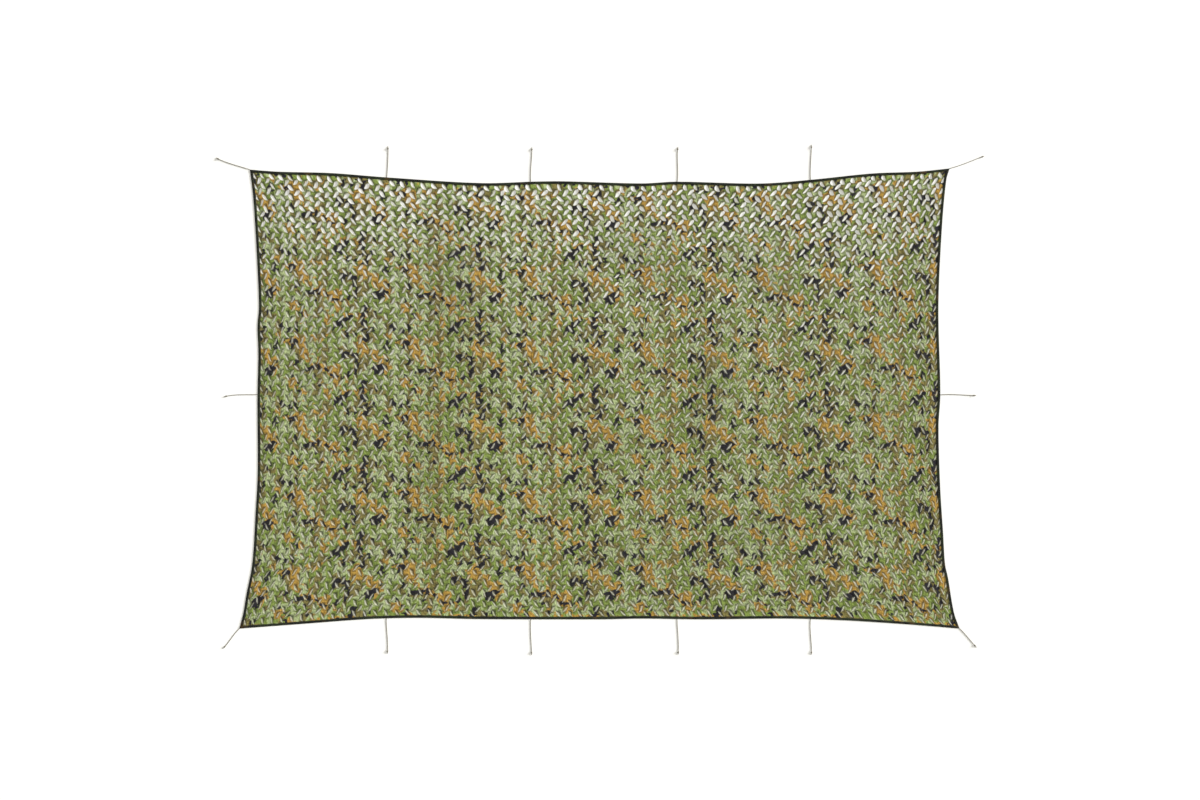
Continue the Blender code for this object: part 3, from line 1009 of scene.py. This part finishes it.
# %% The tree: its inputs and its sums
NET_INPUTS = {
    "Guide": "Object", "Left leaf": "Object", "Right leaf": "Object", "End cell": "Object",
    "Side cell": "Object", "Pairs": "Int", "Panel middle": "Float", "Side at": "Float",
    "Has side": "Bool", "Column pitch": "Float", "Row pitch": "Float", "Rows": "Int",
    "Slant": "Float", "Ridge": "Float", "Give lower": "Float", "Give upper": "Float",
    "Wander": "Float", "Unevenness": "Float", "Shift": "Float", "Seed": "Int",
    "Cloth": "Material",
}
NUMBERS = "ShaderNodeMath"
VECTORS = "ShaderNodeVectorMath"
net_tree, start, end = new_tree("leaf-cut net", NET_INPUTS)
found = {label: start[label] for label in NET_INPUTS}


def work_out(kind, steps):
    """Adds a sum for each step (result, operation, first, second), kept under its name.

    What a step works on is the name of an input or of an earlier result, or a plain value.
    """
    for result, operation, first, second in steps:
        second_socket = "Scale" if operation == "SCALE" else 1
        found[result] = add_node(
            net_tree, kind, {"operation": operation},
            {0: found.get(first, first), second_socket: found.get(second, second)},
        ).outputs[0]


# %% The tree: set out the cells


def instances_of(source, points, seed_step):
    """The source object on every point, each with its own chance and its own small shift."""
    shape = add_node(net_tree, "GeometryNodeObjectInfo", {}, {"Object": start[source]})
    placed = add_node(
        net_tree, "GeometryNodeInstanceOnPoints", {},
        {"Points": points, "Instance": shape.outputs["Geometry"]},
    ).outputs[0]
    work_out(NUMBERS, (
        ("chance seed", "ADD", "Seed", float(seed_step)),
        ("shift seed", "ADD", "chance seed", 1.0),
    ))
    chance = add_node(
        net_tree, "FunctionNodeRandomValue", {"data_type": "FLOAT"}, {"Seed": found["chance seed"]},
    ).outputs[1]
    shift = add_node(
        net_tree, "FunctionNodeRandomValue", {"data_type": "FLOAT_VECTOR"},
        {0: (-1.0, -1.0, 0.0), 1: (1.0, 1.0, 0.0), "Seed": found["shift seed"]},
    ).outputs[0]
    for name, value, kind in (("chance", chance, "FLOAT"), ("shift", shift, "FLOAT_VECTOR")):
        placed = add_node(
            net_tree, "GeometryNodeStoreNamedAttribute", {"data_type": kind, "domain": "INSTANCE"},
            {"Geometry": placed, "Name": name, "Value": value},
        ).outputs[0]
    return placed


def grid_of_points(columns, rows, gap_x, gap_y, middle_x):
    """A grid of points about a middle; it takes the names of inputs or of earlier results."""
    work_out(NUMBERS, (
        ("gaps across", "SUBTRACT", columns, 1.0),
        ("size x", "MULTIPLY", "gaps across", gap_x),
        ("gaps up", "SUBTRACT", rows, 1.0),
        ("size y", "MULTIPLY", "gaps up", gap_y),
    ))
    grid = add_node(
        net_tree, "GeometryNodeMeshGrid", {},
        {
            "Size X": found["size x"], "Size Y": found["size y"],
            "Vertices X": found[columns], "Vertices Y": found.get(rows, rows),
        },
    ).outputs[0]
    middle = add_node(net_tree, "ShaderNodeCombineXYZ", {}, {"X": found[middle_x]}).outputs[0]
    return add_node(
        net_tree, "GeometryNodeTransform", {}, {"Geometry": grid, "Translation": middle},
    ).outputs[0]


work_out(NUMBERS, (
    ("pair pitch", "MULTIPLY", "Column pitch", 2.0),
    ("half pitch", "MULTIPLY", "Column pitch", 0.5),
    ("left middle", "SUBTRACT", "Panel middle", "half pitch"),
    ("right middle", "ADD", "Panel middle", "half pitch"),
    ("fewer rows", "SUBTRACT", "Rows", 1.0),
    ("rows between ends", "SUBTRACT", "Rows", 0.5),
    ("end gap", "MULTIPLY", "rows between ends", "Row pitch"),
    ("side height", "MULTIPLY", "fewer rows", "Row pitch"),
    ("side low", "MULTIPLY", "side height", -0.5),
))
left_points = grid_of_points("Pairs", "Rows", "pair pitch", "Row pitch", "left middle")
right_points = grid_of_points("Pairs", "fewer rows", "pair pitch", "Row pitch", "right middle")
end_points = grid_of_points("Pairs", 2, "pair pitch", "end gap", "right middle")

side_start = add_node(
    net_tree, "ShaderNodeCombineXYZ", {}, {"X": start["Side at"], "Y": found["side low"]},
).outputs[0]
side_step = add_node(net_tree, "ShaderNodeCombineXYZ", {}, {"Y": start["Row pitch"]}).outputs[0]
side_points = add_node(
    net_tree, "GeometryNodeMeshLine", {},
    {"Count": start["Rows"], "Start Location": side_start, "Offset": side_step},
).outputs[0]
side = add_node(
    net_tree, "GeometryNodeSwitch", {"input_type": "GEOMETRY"},
    {"Switch": start["Has side"], "True": instances_of("Side cell", side_points, 400)},
).outputs[0]
cut = add_node(net_tree, "GeometryNodeJoinGeometry", {}, {"Geometry": [
    instances_of("Left leaf", left_points, 100),
    instances_of("Right leaf", right_points, 200),
    instances_of("End cell", end_points, 300),
    side,
]}).outputs[0]
cut = add_node(net_tree, "GeometryNodeRealizeInstances", {}, {"Geometry": cut}).outputs[0]
found["position"] = add_node(net_tree, "GeometryNodeInputPosition").outputs[0]
cut = add_node(
    net_tree, "GeometryNodeStoreNamedAttribute", {"data_type": "FLOAT_VECTOR", "domain": "POINT"},
    {"Geometry": cut, "Name": "flat_cloth", "Value": found["position"]},
).outputs[0]

# %% The tree: what the cells carry, and what the guide sheet says
for name in ("lean", "chance", "loose", "curl", "freedom", "open_left", "open_right", "ride", "relief"):
    found[name] = add_node(
        net_tree, "GeometryNodeInputNamedAttribute", {"data_type": "FLOAT"}, {"Name": name},
    ).outputs[0]
for name in ("spread", "shift", "flat"):
    found[name] = add_node(
        net_tree, "GeometryNodeInputNamedAttribute", {"data_type": "FLOAT_VECTOR"}, {"Name": name},
    ).outputs[0]
guide_sheet = add_node(net_tree, "GeometryNodeObjectInfo", {}, {"Object": start["Guide"]})


def ask_guide(place, wanted):
    """Keeps values of the guide sheet, taken where a place on the flat cloth comes to lie."""
    work_out(VECTORS, (
        ("place", "MULTIPLY", place, (1 / FLAT_LENGTH, 1 / FLAT_WIDTH, 0.0)),
        ("place", "ADD", "place", (0.5, 0.5, 0.0)),
    ))
    for result, value, kind in wanted:
        found[result] = add_node(
            net_tree, "GeometryNodeSampleUVSurface", {"data_type": kind},
            {
                "Mesh": guide_sheet.outputs["Geometry"], "Value": found[value],
                "UV Map": found["flat"], "Sample UV": found["place"],
            },
        ).outputs[0]


# %% The tree: open the slits
MOST_OPEN = 3.0             # no slit opens further than this share of the full opening
GIVE_AT = 0.008             # the cloth gives way most this far above or below a slit's middle
GIVE_SHARPNESS = 4.0        # a higher power keeps it closer beside the holes
WANDER_SCALE = 6.0          # the rows stray from straight lines in waves of about 17 cm

ask_guide("position", (
    ("free", "freedom", "FLOAT"),
    ("left opening", "open_left", "FLOAT"),
    ("right opening", "open_right", "FLOAT"),
))
found["opening"] = add_node(
    net_tree, "ShaderNodeMix", {"data_type": "FLOAT"},
    {"Factor": found["lean"], 2: found["left opening"], 3: found["right opening"]},
).outputs[0]
work_out(NUMBERS, (
    ("uneven", "SUBTRACT", "chance", 0.5),
    ("uneven", "MULTIPLY", "uneven", "Unevenness"),
    ("uneven", "ADD", "uneven", 1.0),
    ("opening", "MULTIPLY", "opening", "uneven"),
    ("opening", "MINIMUM", "opening", MOST_OPEN),
    ("shift size", "MULTIPLY", "loose", "Shift"),
))

# The cloth between two columns gives way sideways where a hole opens beside it. It is counted
# from the middle of the first pair of columns.
found["flat x"], found["flat y"] = add_node(
    net_tree, "ShaderNodeSeparateXYZ", {}, {0: found["position"]},
).outputs[:2]
work_out(NUMBERS, (
    ("flat x", "ADD", "flat x", (COLUMN_PAIRS - 1) * COLUMN_PITCH),
    ("column wave", "MULTIPLY", "flat x", math.pi),
    ("column wave", "DIVIDE", "column wave", "Column pitch"),
    ("column wave", "COSINE", "column wave", 0.0),
))
for facing, amount, middle in ((1.0, "Give upper", GIVE_AT), (-1.0, "Give lower", -GIVE_AT)):
    work_out(NUMBERS, (
        ("beside", "MULTIPLY", "column wave", facing),
        ("beside", "MAXIMUM", "beside", 0.0),
        ("beside", "POWER", "beside", GIVE_SHARPNESS),
        ("row wave", "ADD", "flat y", middle),
        ("row wave", "MULTIPLY", "row wave", math.tau),
        ("row wave", "DIVIDE", "row wave", "Row pitch"),
        ("row wave", "COSINE", "row wave", 0.0),
        ("push", "MULTIPLY", "beside", "row wave"),
        ("push", "MULTIPLY", "push", amount),
        ("push of " + amount, "MULTIPLY", "push", facing),
    ))
work_out(NUMBERS, (
    ("give", "ADD", "push of Give upper", "push of Give lower"),
    ("give", "MULTIPLY", "give", "free"),
    ("both openings", "ADD", "left opening", "right opening"),
    ("give", "MULTIPLY", "give", "both openings"),
))
found["aside"] = add_node(net_tree, "ShaderNodeCombineXYZ", {}, {"X": found["give"]}).outputs[0]
found["wander noise"] = add_node(
    net_tree, "ShaderNodeTexNoise", {},
    {"Vector": found["position"], "Scale": WANDER_SCALE, "Detail": 2.0, "Roughness": 0.5},
).outputs["Color"]
work_out(VECTORS, (
    ("opened", "SCALE", "spread", "opening"),
    ("shifted", "SCALE", "shift", "shift size"),
    ("opened", "ADD", "opened", "shifted"),
    ("strayed", "SUBTRACT", "wander noise", (0.5, 0.5, 0.5)),
    ("strayed", "SCALE", "strayed", "Wander"),
    ("strayed", "SCALE", "strayed", "free"),
    ("moved", "ADD", "position", "aside"),
    ("opened", "ADD", "opened", "strayed"),
    ("moved", "ADD", "moved", "opened"),
))

# %% The tree: turn the strips and lay the cloth
LIFT_SCALE = 11.0           # the strips turn more or less in patches of about 9 cm
WELD = 0.00002

ask_guide("moved", (
    ("laid", "position", "FLOAT_VECTOR"),
    ("ride here", "ride", "FLOAT"),
    ("relief here", "relief", "FLOAT"),
))
found["lift noise"] = add_node(
    net_tree, "ShaderNodeTexNoise", {},
    {"Vector": found["position"], "Scale": LIFT_SCALE, "Detail": 1.0},
).outputs["Fac"]
work_out(NUMBERS, (
    ("quarter row", "MULTIPLY", "Row pitch", 0.25),
    ("half row", "MULTIPLY", "Row pitch", 0.5),
    ("zigzag", "ADD", "flat y", "quarter row"),
    ("zigzag", "PINGPONG", "zigzag", "half row"),
    ("zigzag", "SUBTRACT", "zigzag", "quarter row"),
    ("zigzag", "MULTIPLY", "zigzag", "Slant"),
    ("turn", "ADD", "flat x", "zigzag"),
    ("turn", "DIVIDE", "turn", "Column pitch"),
    ("pleat", "MULTIPLY", "turn", math.pi),
    ("pleat", "SINE", "pleat", 0.0),
    ("lift", "ADD", "pleat", "curl"),
    ("lift", "MULTIPLY", "lift", "ride here"),
    ("roll", "MULTIPLY", "turn", math.tau),
    ("roll", "COSINE", "roll", 0.0),
    ("roll", "MULTIPLY", "roll", "Ridge"),
    ("roll", "MULTIPLY", "roll", "relief here"),
    ("lift", "ADD", "lift", "roll"),
    ("share of lift", "ADD", "lift noise", 0.5),
    ("lift", "MULTIPLY", "lift", "share of lift"),
))
found["up"] = add_node(net_tree, "ShaderNodeCombineXYZ", {}, {"Z": found["lift"]}).outputs[0]
work_out(VECTORS, (("raised", "ADD", "laid", "up"),))
net = add_node(
    net_tree, "GeometryNodeSetPosition", {}, {"Geometry": cut, "Position": found["raised"]},
).outputs[0]
net = add_node(
    net_tree, "GeometryNodeMergeByDistance", {}, {"Geometry": net, "Distance": WELD},
).outputs[0]
end_tree(net_tree, end, net, start["Cloth"])

# %% Grow the six panels
PANELS = (12, 11, 11, 11, 11, 12)   # pairs of columns in each
WANDER = 0.052              # how far the rows would stray over the noise's whole range
UNEVENNESS = 0.8            # how much one slit may stand more open than another
SLIT_SHIFT = 0.0035         # no slit sits quite in the middle of its cell
SLANT = TIP_ACROSS / TIP_UP
GIVE_LOWER = 0.0018         # how far the cloth beside a lower lip gives way, and an upper one
GIVE_UPPER = 0.0010
RIDGE = 0.4                 # height of a rolled strip's ridge, as a share of the relief
CUT_LENGTH = 5.0            # the size the net is sold as, before its slits are spread
CUT_WIDTH = 3.0

panels = []
done = 0
for number, pairs in enumerate(PANELS):
    middle = (done + pairs / 2 - COLUMN_PAIRS / 2) * 2 * COLUMN_PITCH
    done += pairs
    last = number == len(PANELS) - 1
    side_at = (FLAT_LENGTH - SIDE_MARGIN) / 2 * (1 if last else -1)
    seed_object = mesh_object("seed", [], [])
    panel = grow(f"net_panel_{number + 1}", seed_object, net_tree, {
        "Guide": guide, "Left leaf": leaf_left, "Right leaf": leaf_right, "End cell": end_cell,
        "Side cell": side_cell, "Pairs": pairs, "Panel middle": middle, "Side at": side_at,
        "Has side": number == 0 or last, "Column pitch": COLUMN_PITCH, "Row pitch": ROW_PITCH,
        "Rows": ROWS, "Slant": SLANT, "Ridge": RIDGE, "Give lower": GIVE_LOWER,
        "Give upper": GIVE_UPPER, "Wander": WANDER, "Unevenness": UNEVENNESS,
        "Shift": SLIT_SHIFT, "Seed": 11 * number, "Cloth": printed_oxford,
    })
    bpy.data.objects.remove(seed_object)
    for name in ("spread", "loose", "curl", "lean", "chance", "shift"):
        stored = panel.data.attributes.get(name)
        if stored:
            panel.data.attributes.remove(stored)
    area = sum(face.area for face in panel.data.polygons)
    share = pairs / COLUMN_PAIRS * CUT_LENGTH * CUT_WIDTH
    heights = [v.co.z for v in panel.data.vertices]
    print(panel.name, triangles(panel), "triangles,", round(area / share, 3), "of the cut,",
          "z", round(min(heights) * 1000, 2), "to", round(max(heights) * 1000, 2), "mm")
    panels.append(panel)
for tool in (guide, leaf_left, leaf_right, end_cell, side_cell):
    bpy.data.objects.remove(tool)

# %% [markdown]
# ## The binding
# Four strips of dark woven tape are folded lengthwise over the cloth's edge and sewn through.
# A folded strip is a bent ribbon, so its middle line across is drawn once, from the inner edge
# on the face, round the fold, to the inner edge underneath, and carried along the side of the
# net. The stitches pull it in, so its face puffs a little and its inner edge waves.

# %% Dark woven tape

# Woven polyester tape: dull, almost black green with fine cross ribs. Dye lots and dust leave
# it patchy, with olive and rusty stretches, which breaks up the dark outline of the net.
TAPE_DARK = "#0B0E07"
TAPE_OLIVE = "#1C2411"
TAPE_RUST = "#463418"
OLIVE_FADES_IN = (0.46, 0.58)   # noise levels where the olive begins and where it is full
RUST_FADES_IN = (0.60, 0.66)
MOST_RUST = 0.75            # and the rust stays a thin layer
woven_tape, tree, shader = material("woven_polyester_tape", 0.8)
shader.inputs["Specular IOR Level"].default_value = 0.3
coordinates = add_node(tree, "ShaderNodeTexCoord").outputs["Object"]
RIB_PITCH = 0.0025          # tape ribs are 0.8 mm apart; drawn coarser so that they show
patch = add_node(
    tree, "ShaderNodeTexNoise", {},
    {"Vector": coordinates, "Scale": 9.0, "Detail": 2.0, "Roughness": 0.5},
).outputs["Fac"]
second_patch = add_node(
    tree, "ShaderNodeTexNoise", {"noise_dimensions": "4D"},
    {"Vector": coordinates, "W": 4.0, "Scale": 12.0, "Detail": 2.0, "Roughness": 0.5},
).outputs["Fac"]
dark = add_node(
    tree, "ShaderNodeMix", {"data_type": "RGBA"},
    {
        "Factor": add_node(
            tree, "ShaderNodeMapRange", {},
            {"Value": patch, "From Min": OLIVE_FADES_IN[0], "From Max": OLIVE_FADES_IN[1]},
        ).outputs[0],
        6: linear(TAPE_DARK), 7: linear(TAPE_OLIVE),
    },
).outputs[2]
tape_colour = add_node(
    tree, "ShaderNodeMix", {"data_type": "RGBA"},
    {
        "Factor": add_node(
            tree, "ShaderNodeMapRange", {},
            {
                "Value": second_patch, "From Min": RUST_FADES_IN[0], "From Max": RUST_FADES_IN[1],
                "To Max": MOST_RUST,
            },
        ).outputs[0],
        6: dark, 7: linear(TAPE_RUST),
    },
).outputs[2]
tree.links.new(tape_colour, shader.inputs["Base Color"])
ribs = add_node(
    tree, "ShaderNodeTexWave", {"bands_direction": "DIAGONAL"},
    {"Vector": coordinates, "Scale": wave_scale(RIB_PITCH)},
).outputs["Fac"]
bump = add_node(tree, "ShaderNodeBump", {}, {"Height": ribs, "Strength": 0.4, "Distance": 0.0004})
tree.links.new(bump.outputs[0], shader.inputs["Normal"])

# %% Fold the tape over the edge
TAPE_WIDTH = 0.018
TAPE_THICKNESS = 0.001
TAPE_STEP = 0.016           # from one section to the next
TAPE_PUFF = 0.0006          # rise of the tape's face at every other section
PUFF_AT = 0.009             # it rises most this far in from the fold
FACE_HEIGHT = 0.0045        # and only what lies higher than this
TAPE_WAVE = 0.0012          # how far the inner edge waves in and out
WAVE_BEATS = (1.7, 0.31)    # two beats that never fall together

# The folded tape in section, as (distance in from the fold, height): over the cloth, round the
# fold and back under the cloth.
SECTION = (
    (TAPE_WIDTH, 0.0046), (0.014, 0.0051), (0.009, 0.0053), (0.005, 0.0052), (0.0022, 0.0047),
    (0.0008, 0.0038), (0.0005, 0.0028), (0.0008, 0.0017), (0.0022, 0.0008), (0.005, 0.0005),
    (0.011, 0.0005), (TAPE_WIDTH, 0.0005),
)
JUST_IN = 0.01              # share of the net at which a side's inward direction is taken
BUTT = (TAPE_WIDTH + GAP) / WIDTH   # a short strip starts where the long one's edge ends
Strip = namedtuple("Strip", "edge just_inside length butt")
STRIPS = {
    "top": Strip(top_edge, lambda u: on_net(u, 1 - JUST_IN), LENGTH, 0.0),
    "bottom": Strip(bottom_edge, lambda u: on_net(u, JUST_IN), LENGTH, 0.0),
    "left": Strip(left_edge, lambda v: on_net(JUST_IN, v), WIDTH, BUTT),
    "right": Strip(right_edge, lambda v: on_net(1 - JUST_IN, v), WIDTH, BUTT),
}


def on_strip(strip, share, inward, height):
    """A point of a strip: a share of the way along it, and so far in from its fold."""
    outside = strip.edge(share)
    direction = (strip.just_inside(share) - outside).normalized()
    point = outside + direction * inward
    point.z = height
    return point


def face_outwards(mesh):
    """Turns every face of a closed mesh outwards."""
    shape = bmesh.new()
    shape.from_mesh(mesh)
    bmesh.ops.recalc_face_normals(shape, faces=shape.faces)
    shape.to_mesh(mesh)
    shape.free()


def make_binding(side):
    """One strip of tape folded over a side of the net."""
    strip = STRIPS[side]
    steps = round(strip.length / TAPE_STEP)
    points = []
    for step in range(steps + 1):
        share = strip.butt + (1 - 2 * strip.butt) * step / steps
        puff = TAPE_PUFF * (0.5 + 0.5 * math.cos(math.pi * step)) * (0 < step < steps)
        wave = TAPE_WAVE * math.sin(step * WAVE_BEATS[0]) * math.sin(step * WAVE_BEATS[1])
        for distance, height in SECTION:
            inner = max(0.0, distance / TAPE_WIDTH - 0.5) * 2
            near_middle = 1 - abs(distance - PUFF_AT) / PUFF_AT
            raised = height + puff * (height > FACE_HEIGHT) * near_middle
            points.append(on_strip(strip, share, distance + wave * inner, raised))
    binding = mesh_object("tape_" + side, points, grid_faces(len(SECTION) - 1, steps))
    thickness = binding.modifiers.new("Thickness", "SOLIDIFY")
    thickness.thickness = TAPE_THICKNESS
    thickness.offset = 0.0
    thickness.use_even_offset = True
    solid = with_modifiers(binding)
    binding.modifiers.clear()
    binding.data = solid
    face_outwards(solid)
    for face in solid.polygons:
        face.use_smooth = True
    solid.materials.append(woven_tape)
    return binding


bindings = {side: make_binding(side) for side in STRIPS}
print("tape:", {side: triangles(piece) for side, piece in bindings.items()})

# %% [markdown]
# ## The sewing
# A lockstitch runs along the tape near its inner edge. A stitch is a short bead of thread with
# its ends in the tape. It could be drawn as a bump, but a raised bead catches the light as real
# thread does, and a small tree has only to set one stitch on every point of a line.

# %% One stitch
STITCH_LENGTH = 0.0062
STITCH_WIDTH = 0.0011
STITCH_STEP = 0.0085        # from one stitch to the next
STITCH_SIDES = 5

# (share of the length, share of the width): a stitch is full in the middle and dips at its ends.
STITCH_SECTIONS = ((-0.5, 0.25), (-0.3, 0.9), (0.0, 1.0), (0.3, 0.9), (0.5, 0.25))


def make_stitch():
    """One bead of thread along X, its ends lower than its middle."""
    points = []
    for along, fat in STITCH_SECTIONS:
        for side in range(STITCH_SIDES):
            turn = math.tau * side / STITCH_SIDES
            radius = STITCH_WIDTH / 2 * fat
            height = radius * math.sin(turn) + (fat - 0.6) * STITCH_WIDTH / 2
            points.append((along * STITCH_LENGTH, radius * math.cos(turn), height))
    rings = len(STITCH_SECTIONS)
    faces = [
        (
            ring * STITCH_SIDES + side,
            (ring + 1) * STITCH_SIDES + side,
            (ring + 1) * STITCH_SIDES + (side + 1) % STITCH_SIDES,
            ring * STITCH_SIDES + (side + 1) % STITCH_SIDES,
        )
        for ring in range(rings - 1)
        for side in range(STITCH_SIDES)
    ]
    faces.append(tuple(range(STITCH_SIDES)))
    faces.append(tuple(reversed(range((rings - 1) * STITCH_SIDES, rings * STITCH_SIDES))))
    stitch = mesh_object("stitch", points, faces)
    face_outwards(stitch.data)
    return stitch


stitch = make_stitch()
print("stitch:", triangles(stitch), "triangles")

# %% The tree that sews along a line
sewing, start, end = new_tree(
    "sewing", {"Stitch": "Object", "Step": "Float", "Thread": "Material"},
)
row_of_points = add_node(
    sewing, "GeometryNodeCurveToPoints", {"mode": "LENGTH"},
    {"Curve": start["Geometry"], "Length": start["Step"]},
)
turned = add_node(
    sewing, "FunctionNodeAlignRotationToVector", {"axis": "X"},
    {"Vector": row_of_points.outputs["Tangent"]},
).outputs[0]
sewn = add_node(
    sewing, "GeometryNodeInstanceOnPoints", {},
    {
        "Points": row_of_points.outputs["Points"],
        "Instance": add_node(
            sewing, "GeometryNodeObjectInfo", {}, {"Object": start["Stitch"]},
        ).outputs["Geometry"],
        "Rotation": turned,
    },
).outputs[0]
sewn = add_node(sewing, "GeometryNodeRealizeInstances", {}, {"Geometry": sewn}).outputs[0]
end_tree(sewing, end, sewn, start["Thread"])

# %% Sew the four strips
STITCH_IN = 0.0135          # how far the seam runs inside the fold
STITCH_HEIGHT = 0.0058
SEAM_STEP = 0.03            # from one point of the seam's line to the next
SEAM_START = 0.004          # from the strip's end to the first stitch

# Spun polyester sewing thread: slightly glossy, dark green, a shade lighter than the tape.
sewing_thread, tree, shader = material("spun_polyester_thread", 0.55)
shader.inputs["Base Color"].default_value = linear("#39402A")
shader.inputs["Sheen Weight"].default_value = 0.1

seams = {}
for side, strip in STRIPS.items():
    count = round(strip.length / SEAM_STEP)
    inset = strip.butt + SEAM_START / strip.length
    line = route_curve("seam_line", [
        on_strip(strip, inset + (1 - 2 * inset) * step / count, STITCH_IN, STITCH_HEIGHT)
        for step in range(count + 1)
    ])
    seams[side] = grow("seam_" + side, line, sewing, {
        "Stitch": stitch, "Step": STITCH_STEP, "Thread": sewing_thread,
    })
    bpy.data.objects.remove(line)
bpy.data.objects.remove(stitch)
print("seams:", {side: triangles(piece) for side, piece in seams.items()})

# %% [markdown]
# ## Hand the pieces over
# Every piece moves with the one body, takes a named finish, and stands for the plain solids
# that it replaces.

# %% Ride and replace
for panel in panels:
    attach(panel, "root")
    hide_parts("net_sheet")
for side in STRIPS:
    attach(bindings[side], "root")
    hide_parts("binding_" + side)
    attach(seams[side], "root")
    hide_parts("binding_" + side)
